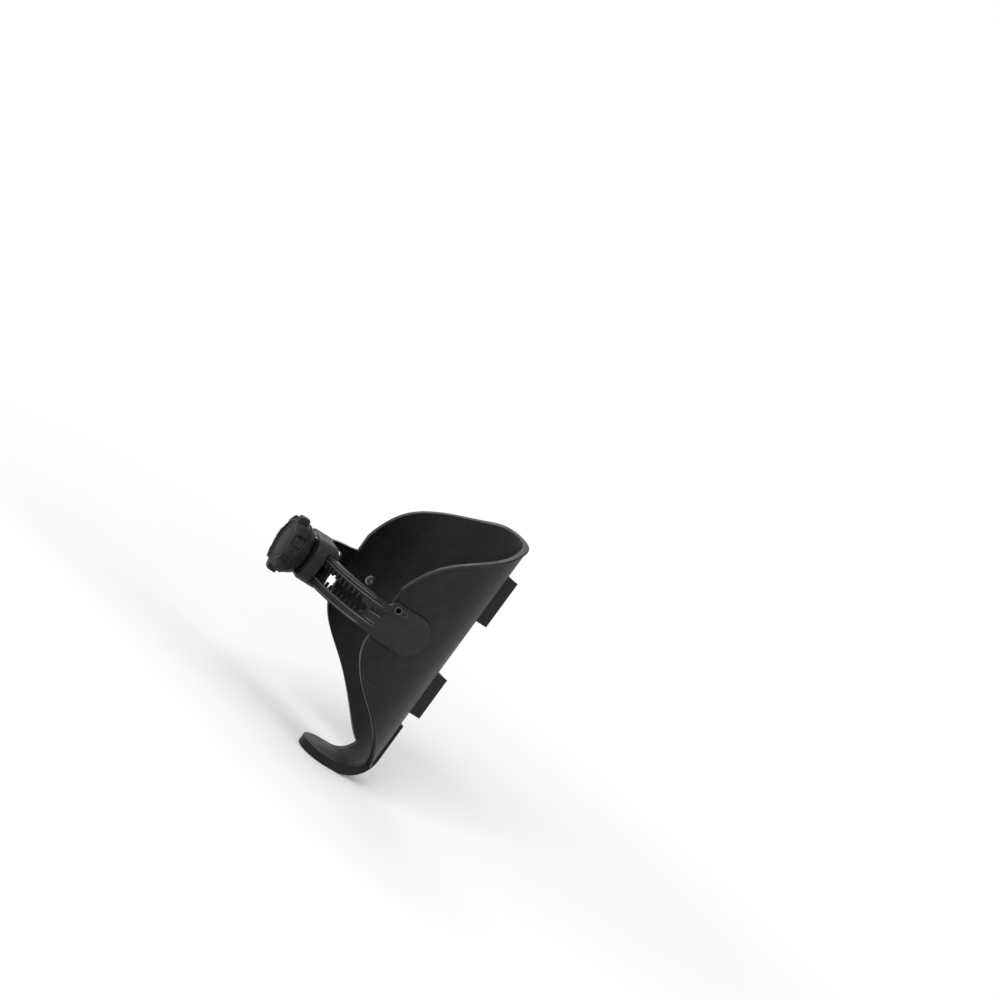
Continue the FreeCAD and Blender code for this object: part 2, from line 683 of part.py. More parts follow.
def adjuster_block(label, word, inner):
    """The adjuster's rounded outline as a block, hollowed to a radius round the cradle."""
    body = new_body(label, AXIS, "0", "strap_height")
    block = new_sketch(body, f"{word}_block", "YZ_Plane")
    draw_rectangle(block, "housing_width / 2", f"{HOUSING_TALL} / 2", "0", "housing_lift")
    pad(body, block, FRONT)
    half_width, half_tall, lift = num("housing_width / 2"), num(f"{HOUSING_TALL} / 2"), num("housing_lift")

    def at_corner(edge):
        middle = edge.CenterOfMass
        off_side, off_end = abs(middle.y) - half_width, abs(middle.z - lift) - half_tall
        return abs(off_side) < 1e-4 and abs(off_end) < 1e-4

    round_edges(body, f"{word}_corners", "housing_corner", at_corner)
    hollow = new_sketch(body, f"{word}_hollow", "XY_Plane")
    draw_circle(hollow, inner)
    pocket(body, hollow, f"2 * {HOUSING_TALL}", midplane=True)
    return body


def make_housing():
    body = adjuster_block("housing_moulding", "housing", PLATE_OUT)
    front = num(FRONT)
    round_edges(
        body, "housing_front_edge", "housing_edge",
        lambda edge: abs(edge.BoundBox.XMin - front) < 1e-4 and abs(edge.BoundBox.XMax - front) < 1e-4,
    )
    channel = new_sketch(body, "housing_channel", "XY_Plane")
    draw_circle(channel, CHANNEL_OUT)
    pocket(body, channel, "strap_width + 2 * channel_gap", midplane=True)
    bore = new_sketch(body, "housing_bore", "YZ_Plane")
    draw_circle(bore, "shaft_radius + running_gap")
    pocket(body, bore, FRONT, backwards=True)
    spring_seat = new_sketch(body, "housing_spring_seat", "YZ_Plane", FRONT)
    draw_rectangle(
        spring_seat, "spring_length / 2 + fit_gap", "spring_width / 2 + fit_gap", "0", "spring_height"
    )
    pocket(body, spring_seat, "spring_pocket")
    end = num("cradle_radius + plate_screw_length + fit_gap")
    holes = []
    for name, side, level in screw_places():
        angle, height = float(side) * num(SCREW_ANGLE), num(f"housing_lift / 2 + {level} * {SCREW_HEIGHT}")
        hole = spoke(num("plate_screw_radius + fit_gap"), num("cradle_radius"), end, angle, height)
        holes.append(solid(f"{name}_hole", hole, x=AXIS, z="strap_height"))
    return cut("adjuster_housing", body, fuse("housing_screw_holes", holes))


def screw_places():
    """Name, angle formula and height formula of each screw of the back plate."""
    for high, level in (("upper", "1"), ("lower", "-1")):
        for word, side in (("near", "1"), ("far", "-1")):
            yield f"{high}_{word}_plate_screw", side, level


def make_plate():
    """The curved plate that closes the strap channel towards the cradle."""
    tall = f"2 * {HOUSING_TALL}"
    low = f"strap_height - {HOUSING_TALL}"
    block = adjuster_block("plate_moulding", "plate", "cradle_radius")
    outside = cylinder("plate_outside", PLATE_OUT, tall, x=AXIS, z=low)
    along_x = Rotation(Vector(0, 1, 0), 90)
    holes = [
        cylinder(
            "plate_pilot_hole", "pilot_radius + running_gap", "cradle_radius",
            x=f"{AXIS} + cradle_radius / 2", z="strap_height", rotation=along_x,
        )
    ]
    for name, side, level in screw_places():
        holes.append(solid(f"{name}_sink", screw_sink(float(side), level), x=AXIS, z="strap_height"))
    return cut("adjuster_back_plate", common("plate_blank", [block, outside]), fuse("plate_holes", holes))


def screw_sink(side, level):
    """The countersunk hole of one screw of the back plate."""
    face, sink, gap = num("cradle_radius"), num("plate_screw_sink"), num("fit_gap")
    head, shank = num("plate_screw_head") + gap, num("plate_screw_radius") + gap
    end = face + 2 * num("plate_wall")
    profile = [
        Vector(face - sink, 0, 0),
        Vector(face - sink, 2 * head - shank, 0),
        Vector(face + sink, shank, 0),
        Vector(end, shank, 0),
        Vector(end, 0, 0),
    ]
    sink = Part.Face(Part.makePolygon(profile + profile[:1])).revolve(Vector(), Vector(1, 0, 0), 360)
    sink.rotate(Vector(), Vector(0, 0, 1), side * num(SCREW_ANGLE))
    sink.translate(Vector(0, 0, num(f"housing_lift / 2 + {level} * {SCREW_HEIGHT}")))
    return sink


def make_plate_screw(name, side, level):
    face = "(cradle_radius + fit_gap)"
    neck = "(cradle_radius + plate_screw_sink)"
    end = "(cradle_radius + plate_screw_length)"
    profile = [
        (face, "0"),
        (end, "0"),
        (end, "plate_screw_radius"),
        (neck, "plate_screw_radius"),
        (face, "plate_screw_head"),
    ]
    body = turned(name, profile, AXIS, "0", f"strap_height + housing_lift / 2 + {level} * {SCREW_HEIGHT}")
    body.Placement.Rotation = Rotation(Vector(0, 0, 1), float(side) * num(SCREW_ANGLE))
    bind(body, "Placement.Rotation.Angle", f"{side} * {SCREW_ANGLE}")
    return body


def make_detent_spring():
    """A leaf in the housing's front face, with a round nose that clicks under the knob."""
    body = new_body("detent_spring", AXIS, "0", "strap_height")
    leaf = new_sketch(body, "spring_leaf", "YZ_Plane", f"{FRONT} - spring_pocket")
    draw_rectangle(leaf, "spring_length / 2", "spring_width / 2", "0", "spring_height")
    pad(body, leaf, "spring_wall")
    nose = new_sketch(body, "spring_nose", "YZ_Plane", f"{FRONT} - spring_pocket")
    draw_circle(nose, "nose_radius", "0", "spring_height")
    pad(body, nose, "spring_pocket + washer_wall")
    return body


def make_washer():
    start = FRONT
    end = f"({FRONT} + washer_wall)"
    inner = "(shaft_radius + 2 * running_gap)"
    profile = [(start, inner), (end, inner), (end, "washer_radius"), (start, "washer_radius")]
    return turned("knob_washer", profile, AXIS, "0", "strap_height")


# Knob group: pinion with its shaft, lobed knob, screw and cap


def make_pinion():
    body = new_body("drive_pinion", AXIS, "0", "strap_height")
    start = f"({PLATE_OUT} + running_gap)"
    length = f"({OUTER_BAND} + strap_web) - {start}"
    core = new_sketch(body, "pinion_core", "YZ_Plane", start)
    draw_circle(core, "pinion_root_radius")
    pad(body, core, length)
    tooth = new_sketch(body, "pinion_tooth", "YZ_Plane", start)
    draw_polygon(
        tooth,
        [
            ("-pinion_root_width / 2", "pinion_root_radius / 2"),
            ("pinion_root_width / 2", "pinion_root_radius / 2"),
            ("pinion_root_width / 2", "pinion_root_radius"),
            ("pinion_tip_width / 2", "pinion_tip_radius"),
            ("-pinion_tip_width / 2", "pinion_tip_radius"),
            ("-pinion_root_width / 2", "pinion_root_radius"),
        ],
    )
    repeat_around(body, pad(body, tooth, length), tooth, "pinion_teeth")
    shaft = new_sketch(body, "pinion_shaft", "YZ_Plane", f"{OUTER_BAND} + strap_web")
    draw_circle(shaft, "shaft_radius")
    pad(body, shaft, f"{KNOB_BACK} - ({OUTER_BAND} + strap_web)")
    square = new_sketch(body, "pinion_square", "YZ_Plane", KNOB_BACK)
    draw_rectangle(square, "shaft_square / 2", "shaft_square / 2")
    pad(body, square, "square_length")
    pilot = new_sketch(body, "pinion_pilot", "YZ_Plane", "cradle_radius + fit_gap")
    draw_circle(pilot, "pilot_radius")
    pad(body, pilot, f"{start} - cradle_radius")
    drill = new_sketch(body, "pinion_drill", "YZ_Plane", SQUARE_END)
    draw_circle(drill, "screw_radius + fit_gap")
    pocket(body, drill, "screw_length")
    return body


def make_knob():
    body = new_body("knob_body", AXIS, "0", "strap_height")
    skirt = new_sketch(body, "knob_skirt", "YZ_Plane", KNOB_BACK)
    draw_circle(skirt, "skirt_radius")
    pad(body, skirt, "skirt_depth")
    core = new_sketch(body, "knob_core", "YZ_Plane", f"{KNOB_BACK} + skirt_depth")
    draw_circle(core, "knob_valley")
    pad(body, core, "knob_depth - skirt_depth")
    lobe = new_sketch(body, "knob_lobe", "YZ_Plane", f"{KNOB_BACK} + skirt_depth")
    draw_polygon(
        lobe,
        [
            ("-lobe_root_width / 2", "knob_valley / 2"),
            ("lobe_root_width / 2", "knob_valley / 2"),
            ("lobe_root_width / 2", "knob_valley - (knob_radius - knob_valley) / 4"),
            ("lobe_tip_width / 2", "knob_radius"),
            ("-lobe_tip_width / 2", "knob_radius"),
            ("-lobe_root_width / 2", "knob_valley - (knob_radius - knob_valley) / 4"),
        ],
    )
    repeat_around(body, pad(body, lobe, "knob_depth - skirt_depth - lobe_setback"), lobe, "lobe_count")
    dish = new_sketch(body, "knob_dish", "YZ_Plane", KNOB_FACE)
    draw_circle(dish, "dish_radius")
    pocket(body, dish, "dish_depth")
    cap_seat = new_sketch(body, "knob_cap_seat", "YZ_Plane", KNOB_FACE)
    draw_circle(cap_seat, "cap_radius + fit_gap")
    pocket(body, cap_seat, "dish_depth + cap_wall")
    head_room = new_sketch(body, "knob_head_room", "YZ_Plane", KNOB_FACE)
    draw_circle(head_room, "screw_head_radius + fit_gap")
    pocket(body, head_room, f"{KNOB_FACE} - {HEAD_SEAT}")
    passage = new_sketch(body, "knob_screw_passage", "YZ_Plane", KNOB_FACE)
    draw_circle(passage, "screw_radius + 2 * fit_gap")
    pocket(body, passage, "knob_depth")
    socket = new_sketch(body, "knob_socket", "YZ_Plane", SQUARE_END)
    draw_rectangle(socket, "shaft_square / 2 + fit_gap", "shaft_square / 2 + fit_gap")
    pocket(body, socket, "2 * square_length")
    dimple = new_sketch(body, "knob_dimple", "YZ_Plane", f"{KNOB_BACK} + dimple_depth")
    draw_circle(dimple, "dimple_radius", "0", "spring_height")
    first = pocket(body, dimple, "2 * dimple_depth")
    repeat_around(body, first, dimple, "dimple_count")
    return body


def make_knob_screw():
    """A screw into the end of the shaft, with a hexagon socket in its head."""
    top = f"({HEAD_SEAT} + screw_head_height)"
    profile = [
        (f"{HEAD_SEAT} - screw_length", "0"),
        (top, "0"),
        (top, "screw_head_radius"),
        (HEAD_SEAT, "screw_head_radius"),
        (HEAD_SEAT, "screw_radius"),
        (f"{HEAD_SEAT} - screw_length", "screw_radius"),
    ]
    body = turned("knob_screw", profile, AXIS, "0", "strap_height")
    hexagon = new_sketch(body, "knob_screw_hexagon", "YZ_Plane", top)
    half, corner = "screw_hex / 2", "screw_hex / 3 ^ 0.5"
    draw_polygon(
        hexagon,
        [
            ("0", corner),
            (f"-({half})", f"{corner} / 2"),
            (f"-({half})", f"-{corner} / 2"),
            ("0", f"-{corner}"),
            (half, f"-{corner} / 2"),
            (half, f"{corner} / 2"),
        ],
    )
    pocket(body, hexagon, "screw_head_height / 2")
    return body


def make_knob_cap():
    """A slightly crowned disc that hides the screw."""
    rim = f"({CAP_SEAT} + cap_wall)"
    profile = [
        (CAP_SEAT, "0"),
        (f"{rim} + cap_crown", "0"),
        (f"{rim} + cap_crown", "cap_radius / 2"),
        (rim, "cap_radius"),
        (CAP_SEAT, "cap_radius"),
    ]
    return turned("knob_cap", profile, AXIS, "0", "strap_height")


# Assembly

parts = [make_cage_body()]
parts += [make_pad("upper", ""), make_pad("lower", "-")]
parts += make_straps()
parts += [make_rivet("near", 1), make_rivet("far", -1)]
parts += [make_housing(), make_plate(), make_detent_spring(), make_washer()]
parts += [make_plate_screw(*place) for place in screw_places()]
parts += [make_pinion(), make_knob(), make_knob_screw(), make_knob_cap()]
doc.recompute()

for item in doc.Objects:
    if {"Invalid", "Error"} & set(item.State):
        raise RuntimeError(f"{item.Label} failed: {item.State}")
for item in parts:
    if item.Shape.isNull() or not item.Shape.isValid():
        raise RuntimeError(f"{item.Label} has no valid shape")

os.makedirs("parts", exist_ok=True)
for item in parts:
    item.Shape.exportStep(f"parts/{item.Label}.step")
    print(f"{item.Label}: {item.Shape.Volume:.1f} mm3 in {len(item.Shape.Solids)} solid")
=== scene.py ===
import math

import bmesh
import bpy
import numpy as np
from mathutils import Matrix, Vector


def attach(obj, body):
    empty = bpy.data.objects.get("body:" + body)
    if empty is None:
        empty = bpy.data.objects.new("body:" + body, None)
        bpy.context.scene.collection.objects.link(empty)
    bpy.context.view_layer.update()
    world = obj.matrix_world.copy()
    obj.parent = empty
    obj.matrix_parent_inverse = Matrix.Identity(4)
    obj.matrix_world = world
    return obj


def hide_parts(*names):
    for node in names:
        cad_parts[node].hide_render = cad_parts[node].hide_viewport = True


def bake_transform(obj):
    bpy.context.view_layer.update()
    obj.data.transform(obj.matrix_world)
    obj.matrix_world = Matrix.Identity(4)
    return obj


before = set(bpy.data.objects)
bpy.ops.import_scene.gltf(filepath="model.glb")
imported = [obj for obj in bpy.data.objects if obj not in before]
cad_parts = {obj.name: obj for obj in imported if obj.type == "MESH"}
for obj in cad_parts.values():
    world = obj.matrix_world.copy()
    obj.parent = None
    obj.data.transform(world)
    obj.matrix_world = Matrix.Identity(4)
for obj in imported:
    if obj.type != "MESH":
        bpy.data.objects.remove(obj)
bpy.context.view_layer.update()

# Cradle: one injection moulding in black glass-filled nylon, with two wings, a back plate and a foot.
# It comes out of the mould with a fine spark-eroded grain, and a raised bead stiffens its edges.

MM = 0.001
CRADLE_AXIS = 47.3
WING_OUT = 44.3
CRADLE_WALL = 3.0
WING_REACH = 12.5
WING_CORNER = 15.5
WING_HEEL = -13.5
CRADLE_TOP = 64.3
SKIRT_BOTTOM = -80.0
FOOT_HALF = 14.0
UPPER_EDGE = [(77, 0.154), (89, 0.44), (100, 0.576), (114, 0.70), (137, 0.871), (153, 0.969)]
LOWER_EDGE = [(74.5, 0.09), (83, 0.263), (96, 0.406), (111, 0.541), (126, 0.692), (142, 0.857), (155, 0.95)]
RECESS_EDGES = {1: (-13.2, 10.1), -1: (-16.4, 7.3)}
BEAD_INSET = 0.95
BEAD_WIDTH = 0.85
BEAD_HEIGHT = 0.65


def put(tree, kind, sockets, **settings):
    """A shader node with its settings, whose sockets take a value or another node's output."""
    node = tree.nodes.new(kind)
    for name, value in settings.items():
        setattr(node, name, value)
    for name, value in sockets.items():
        if isinstance(value, bpy.types.NodeSocket):
            tree.links.new(value, node.inputs[name])
        else:
            node.inputs[name].default_value = value
    return node


def new_group(name, inputs, outputs):
    """An empty shader group with float or vector sockets, and its two end nodes."""
    tree = bpy.data.node_groups.new(name, "ShaderNodeTree")
    for label, kind in inputs:
        tree.interface.new_socket(label, in_out="INPUT", socket_type=f"NodeSocket{kind}")
    for label, kind in outputs:
        tree.interface.new_socket(label, in_out="OUTPUT", socket_type=f"NodeSocket{kind}")
    return tree, put(tree, "NodeGroupInput", {}).outputs, put(tree, "NodeGroupOutput", {}).inputs


def mould_grain_group():
    """Fine pebbled texture of a spark-eroded mould: cells and noise of one size, from 0 to 1."""
    tree, given, result = new_group(
        "mould_grain", [("Place", "Vector"), ("Cells", "Float")], [("Height", "Float")]
    )
    cells = put(
        tree, "ShaderNodeTexVoronoi", {"Vector": given["Place"], "Scale": given["Cells"]},
        feature="SMOOTH_F1",
    )
    speck = put(
        tree, "ShaderNodeTexNoise",
        {"Vector": given["Place"], "Scale": given["Cells"], "Detail": 3.0, "Roughness": 0.6},
    )
    both = put(
        tree, "ShaderNodeMath", {0: cells.outputs["Distance"], 1: 0.6, 2: speck.outputs["Fac"]},
        operation="MULTIPLY_ADD",
    )
    tree.links.new(both.outputs[0], result["Height"])
    return tree


def rounded_edge_group():
    """Edges softened to a radius, and a mask of how sharply the surface turns there."""
    tree, given, result = new_group(
        "rounded_edge", [("Radius", "Float")], [("Normal", "Vector"), ("Rub", "Float")]
    )
    soft = put(tree, "ShaderNodeBevel", {"Radius": given["Radius"]}, samples=4)
    flat = put(tree, "ShaderNodeNewGeometry", {})
    alike = put(
        tree, "ShaderNodeVectorMath", {0: soft.outputs[0], 1: flat.outputs["Normal"]},
        operation="DOT_PRODUCT",
    )
    rub = put(
        tree, "ShaderNodeMapRange",
        {"Value": alike.outputs["Value"], "From Min": 0.995, "From Max": 0.8},
    )
    tree.links.new(soft.outputs[0], result["Normal"])
    tree.links.new(rub.outputs[0], result["Rub"])
    return tree


def dust_group():
    """Dust that settles in patches on surfaces that face up."""
    tree, given, result = new_group("settled_dust", [("Place", "Vector")], [("Mask", "Float")])
    facing = put(tree, "ShaderNodeNewGeometry", {})
    height = put(tree, "ShaderNodeSeparateXYZ", {0: facing.outputs["Normal"]})
    level = put(
        tree, "ShaderNodeMapRange",
        {"Value": height.outputs["Z"], "From Min": -0.2, "From Max": 1.0, "To Min": 0.15},
    )
    patches = put(
        tree, "ShaderNodeTexNoise",
        {"Vector": given["Place"], "Scale": 70.0, "Detail": 6.0, "Roughness": 0.7},
    )
    spread = put(
        tree, "ShaderNodeMapRange",
        {"Value": patches.outputs["Fac"], "From Min": 0.42, "From Max": 0.75},
    )
    mask = put(
        tree, "ShaderNodeMath", {0: level.outputs[0], 1: spread.outputs[0]}, operation="MULTIPLY"
    )
    tree.links.new(mask.outputs[0], result["Mask"])
    return tree


def scratch_group():
    """Hairline scratches in two directions: noise drawn out along one axis and cut to a thin line."""
    tree, given, result = new_group(
        "hairline_scratches", [("Place", "Vector"), ("Fine", "Float")], [("Mask", "Float")]
    )
    lines = []
    for turn, stretch in (((0.3, 0.5, 0.9), (0.05, 1.0, 1.0)), ((1.1, 0.2, 2.3), (1.0, 0.05, 1.0))):
        drawn = put(
            tree, "ShaderNodeMapping", {"Vector": given["Place"], "Rotation": turn, "Scale": stretch}
        )
        noise = put(
            tree, "ShaderNodeTexNoise",
            {"Vector": drawn.outputs[0], "Scale": given["Fine"], "Detail": 2.0},
        )
        line = put(
            tree, "ShaderNodeMapRange",
            {"Value": noise.outputs["Fac"], "From Min": 0.67, "From Max": 0.71},
        )
        lines.append(line.outputs[0])
    either = put(tree, "ShaderNodeMath", {0: lines[0], 1: lines[1]}, operation="MAXIMUM")
    tree.links.new(either.outputs[0], result["Mask"])
    return tree


MOULD_GRAIN = mould_grain_group()
ROUNDED_EDGE = rounded_edge_group()
SETTLED_DUST = dust_group()
HAIRLINES = scratch_group()


def use_group(tree, group, sockets):
    """A group placed in a material."""
    return put(tree, "ShaderNodeGroup", sockets, node_tree=group).outputs


def blend_colour(tree, share, first, second):
    """Colour between two colours or outputs, by a share from 0 to 1."""
    mix = put(
        tree, "ShaderNodeMix", {0: share, 6: first, 7: second}, data_type="RGBA", clamp_factor=True
    )
    return mix.outputs[2]


def scaled(tree, value, by, plus=0.0):
    """A value times a number, plus a number or another value."""
    return put(tree, "ShaderNodeMath", {0: value, 1: by, 2: plus}, operation="MULTIPLY_ADD").outputs[0]


def moulded_plastic(name, colour, roughness, cells, depth, edge, specular=0.4, dusty=0.1):
    """Plastic with flow clouds in its colour, mould grain, rubbed edges, hairlines and dust."""
    material = bpy.data.materials.new(name)
    material.use_nodes = True
    tree = material.node_tree
    shader = tree.nodes["Principled BSDF"]
    shader.inputs["Specular IOR Level"].default_value = specular
    place = put(tree, "ShaderNodeTexCoord", {}).outputs["Object"]
    clouds = put(
        tree, "ShaderNodeTexNoise",
        {"Vector": place, "Scale": 45.0, "Detail": 4.0, "Roughness": 0.55, "Distortion": 0.6},
    ).outputs["Fac"]
    turn = use_group(tree, ROUNDED_EDGE, {"Radius": edge})
    grain = use_group(tree, MOULD_GRAIN, {"Place": place, "Cells": cells})
    lines = use_group(tree, HAIRLINES, {"Place": place, "Fine": 900.0})
    dust = use_group(tree, SETTLED_DUST, {"Place": place})
    dark = tuple(0.72 * part for part in colour) + (1.0,)
    light = tuple(1.3 * part for part in colour) + (1.0,)
    body = blend_colour(tree, clouds, dark, light)
    rubbed = blend_colour(
        tree, scaled(tree, turn["Rub"], 0.35), body, tuple(3.2 * part for part in colour) + (1.0,)
    )
    scratched = blend_colour(
        tree, scaled(tree, lines["Mask"], 0.12), rubbed, (0.07, 0.07, 0.07, 1.0)
    )
    dusted = blend_colour(
        tree, scaled(tree, dust["Mask"], dusty), scratched, (0.22, 0.21, 0.20, 1.0)
    )
    tree.links.new(dusted, shader.inputs["Base Color"])
    sheen = scaled(tree, clouds, 0.16, roughness - 0.08)
    polish = scaled(tree, turn["Rub"], -0.07, sheen)
    matt = scaled(tree, dust["Mask"], 0.25, polish)
    tree.links.new(matt, shader.inputs["Roughness"])
    bump = put(
        tree, "ShaderNodeBump",
        {"Strength": 0.7, "Distance": depth, "Height": grain["Height"], "Normal": turn["Normal"]},
    )
    tree.links.new(bump.outputs[0], shader.inputs["Normal"])
    return material


def dress(material, *names):
    """Give CAD nodes a material."""
    for name in names:
        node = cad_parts[name]
        node.data.materials.clear()
        node.data.materials.append(material)


def smooth_line(places, count):
    """Points evenly along a cubic spline through places, over the length of its chords.

    Its end slopes are those of the cubic through the first and the last four places, and one
    linear system gives the slopes between, so that the second derivative is continuous.
    """
    places = np.asarray(places, float)
    chord = np.concatenate([[0], np.cumsum(np.linalg.norm(np.diff(places, axis=0), axis=1))])
    step = np.diff(chord)[:, None]
    system, right = np.eye(len(places)), np.zeros_like(places)
    for end, four in ((0, slice(0, 4)), (-1, slice(-4, None))):
        right[end] = np.polynomial.polynomial.polyfit(chord[four] - chord[end], places[four], 3)[1]
    inner = np.arange(1, len(places) - 1)
    before, after = step[:-1], step[1:]
    system[inner, inner - 1] = after[:, 0]
    system[inner, inner] = 2 * (before + after)[:, 0]
    system[inner, inner + 1] = before[:, 0]
    rise = np.diff(places, axis=0)
    right[1:-1] = 3 * (after * rise[:-1] / before + before * rise[1:] / after)
    slope = np.linalg.solve(system, right)
    along = np.linspace(0, chord[-1], count)
    i = np.clip(np.searchsorted(chord, along) - 1, 0, len(step) - 1)
    t = (along - chord[i])[:, None] / step[i]
    start = places[i] * (1 + 2 * t) * (1 - t) ** 2 + slope[i] * step[i] * t * (1 - t) ** 2
    return start + places[i + 1] * t**2 * (3 - 2 * t) + slope[i + 1] * step[i] * t**2 * (t - 1)


def make_piece(name, points, faces, material, sharp=32.0):
    """A closed mesh from points in millimetres: doubles merged, faces out, smooth up to an angle."""
    mesh = bpy.data.meshes.new(name)
    mesh.from_pydata((np.asarray(points) * MM).tolist(), [], np.asarray(faces).tolist())
    shell = bmesh.new()
    shell.from_mesh(mesh)
    bmesh.ops.remove_doubles(shell, verts=shell.verts, dist=2e-6)
    bmesh.ops.recalc_face_normals(shell, faces=shell.faces)
    shell.to_mesh(mesh)
    shell.free()
    mesh.shade_smooth()
    mesh.set_sharp_from_angle(angle=math.radians(sharp))
    mesh.materials.append(material)
    piece = bpy.data.objects.new(name, mesh)
    bpy.context.collection.objects.link(piece)
    return piece


def grid_faces(rows, columns, closed=False, looped=False):
    """Four-sided faces of a grid of points: rows join end to start where closed, columns where looped."""
    index = np.arange(rows * columns).reshape(rows, columns)
    if looped:
        index = np.concatenate([index, index[:1]])
    if closed:
        index = np.concatenate([index, index[:, :1]], axis=1)
    corners = [index[:-1, :-1], index[1:, :-1], index[1:, 1:], index[:-1, 1:]]
    return np.stack([corner.ravel() for corner in corners], axis=1)


def bead(path, outward, width, height, sides=14):
    """An oval section carried along a path on a surface, thinning at both ends."""
    run = np.gradient(path, axis=0)
    run /= np.linalg.norm(run, axis=1, keepdims=True)
    across = np.cross(run, outward)
    around = np.linspace(0, 2 * np.pi, sides, endpoint=False)
    steps = np.arange(len(path))
    thin = np.sqrt(np.clip(np.minimum(steps, steps[::-1]) / 5, 0, 1))[:, None, None]
    oval = width * np.cos(around)[:, None] * across[:, None]
    oval = oval + height * np.sin(around)[:, None] * outward[:, None]
    points = path[:, None] + thin * oval
    return points.reshape(-1, 3), grid_faces(len(path), sides, closed=True)


def joined(parts):
    """One list of points and faces from several."""
    starts = np.cumsum([0] + [len(points) for points, faces in parts])
    faces = [faces + start for (points, faces), start in zip(parts, starts)]
    return np.concatenate([points for points, faces in parts]), np.concatenate(faces)


def even_steps(path, count):
    """A path's points moved along it to even distances."""
    run = np.concatenate([[0], np.cumsum(np.linalg.norm(np.diff(path, axis=0), axis=1))])
    places = np.linspace(0, run[-1], count)
    return np.stack([np.interp(places, run, path[:, axis]) for axis in range(3)], axis=1)


def wing_edge(shares, start, end, reach_back, side):
    """Points along the wing's edge on its outer face, from the front corner to a place on the back."""
    places = [(WING_REACH, start)]
    for angle, share in shares:
        places.append((WING_OUT * math.cos(math.radians(angle)), start + share * (end - start)))
    places.append((-WING_OUT - CRADLE_WALL, end))
    x, height = smooth_line(places, 4000).T
    wanted = x > WING_OUT * math.cos(reach_back)
    x, height = x[wanted], height[wanted]
    return np.stack([x, side * np.sqrt(WING_OUT**2 - x**2), height], axis=1)


def inset_path(path, by):
    """A path moved sideways on the cradle's outer face, towards the middle of the wing."""
    outward = path * [1, 1, 0]
    outward /= np.linalg.norm(outward, axis=1, keepdims=True)
    run = np.gradient(path, axis=0)
    run /= np.linalg.norm(run, axis=1, keepdims=True)
    moved = path + by * np.cross(run, outward)
    flat = np.linalg.norm(moved[:, :2], axis=1, keepdims=True)
    moved[:, :2] *= WING_OUT / flat
    return moved, outward


cradle_plastic = moulded_plastic(
    "cradle_plastic", (0.0060, 0.0060, 0.0064), 0.42, 2600.0, 0.00003, 0.0005, specular=0.16
)
dress(cradle_plastic, "cage_body")

FOOT_JOIN = math.pi - math.asin(FOOT_HALF / WING_OUT)
beads = []
for side in (1, -1):
    top = wing_edge(UPPER_EDGE, WING_CORNER, CRADLE_TOP, 0.9999 * math.pi, side)
    low = wing_edge(LOWER_EDGE, WING_HEEL, SKIRT_BOTTOM, FOOT_JOIN, side)
    recess_low, recess_high = RECESS_EDGES[side]
    low = low[low[:, 2] < recess_low]
    front = np.linspace([*top[0, :2], recess_high], top[0], 20)[:-1]
    for outline, inward, count in ((np.concatenate([front, top]), side, 220), (low, -side, 180)):
        path, outward = inset_path(even_steps(outline, count), inward * BEAD_INSET)
        points, faces = bead(path, outward, BEAD_WIDTH, BEAD_HEIGHT)
        beads.append((points + [CRADLE_AXIS, 0, 0], faces))
points, faces = joined(beads)
rim = make_piece("cradle_rim_bead", points, faces, cradle_plastic)
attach(rim, "cage")

# Saddle pads: soft black rubber blocks behind the back plate, hollowed to sit on a round surface.
# They are pressed into shape with fine ribs across their length, and a boss holds each in place.

RIB_SPACING = 0.0022


def pad_rubber():
    """Matt rubber with ribs across the pad's length and a dusty bloom."""
    material = bpy.data.materials.new("pad_rubber")
    material.use_nodes = True
    tree = material.node_tree
    shader = tree.nodes["Principled BSDF"]
    shader.inputs["Specular IOR Level"].default_value = 0.25
    place = put(tree, "ShaderNodeTexCoord", {}).outputs["Object"]
    turn = use_group(tree, ROUNDED_EDGE, {"Radius": 0.0006})
    grain = use_group(tree, MOULD_GRAIN, {"Place": place, "Cells": 3500.0})
    dust = use_group(tree, SETTLED_DUST, {"Place": place})
    bloom = blend_colour(
        tree, scaled(tree, dust["Mask"], 0.3), (0.012, 0.012, 0.013, 1.0), (0.10, 0.095, 0.09, 1.0)
    )
    tree.links.new(bloom, shader.inputs["Base Color"])
    tree.links.new(scaled(tree, grain["Height"], 0.15, 0.68), shader.inputs["Roughness"])
    ribs = put(
        tree, "ShaderNodeTexWave",
        {"Vector": place, "Scale": 2 * math.pi / RIB_SPACING / 20, "Distortion": 0.0},
        bands_direction="Z",
    )
    height = scaled(tree, grain["Height"], 0.12, ribs.outputs["Fac"])
    bump = put(
        tree, "ShaderNodeBump",
        {"Strength": 0.8, "Distance": 0.0003, "Height": height, "Normal": turn["Normal"]},
    )
    tree.links.new(bump.outputs[0], shader.inputs["Normal"])
    return material


dress(pad_rubber(), "upper_tube_pad", "lower_tube_pad")

# Straps: two mouldings in a tougher, smoother black nylon, one the other turned upside down.
# Each has a toothed slot between two raised rails, steps over to a wide root, and is riveted to its wing.

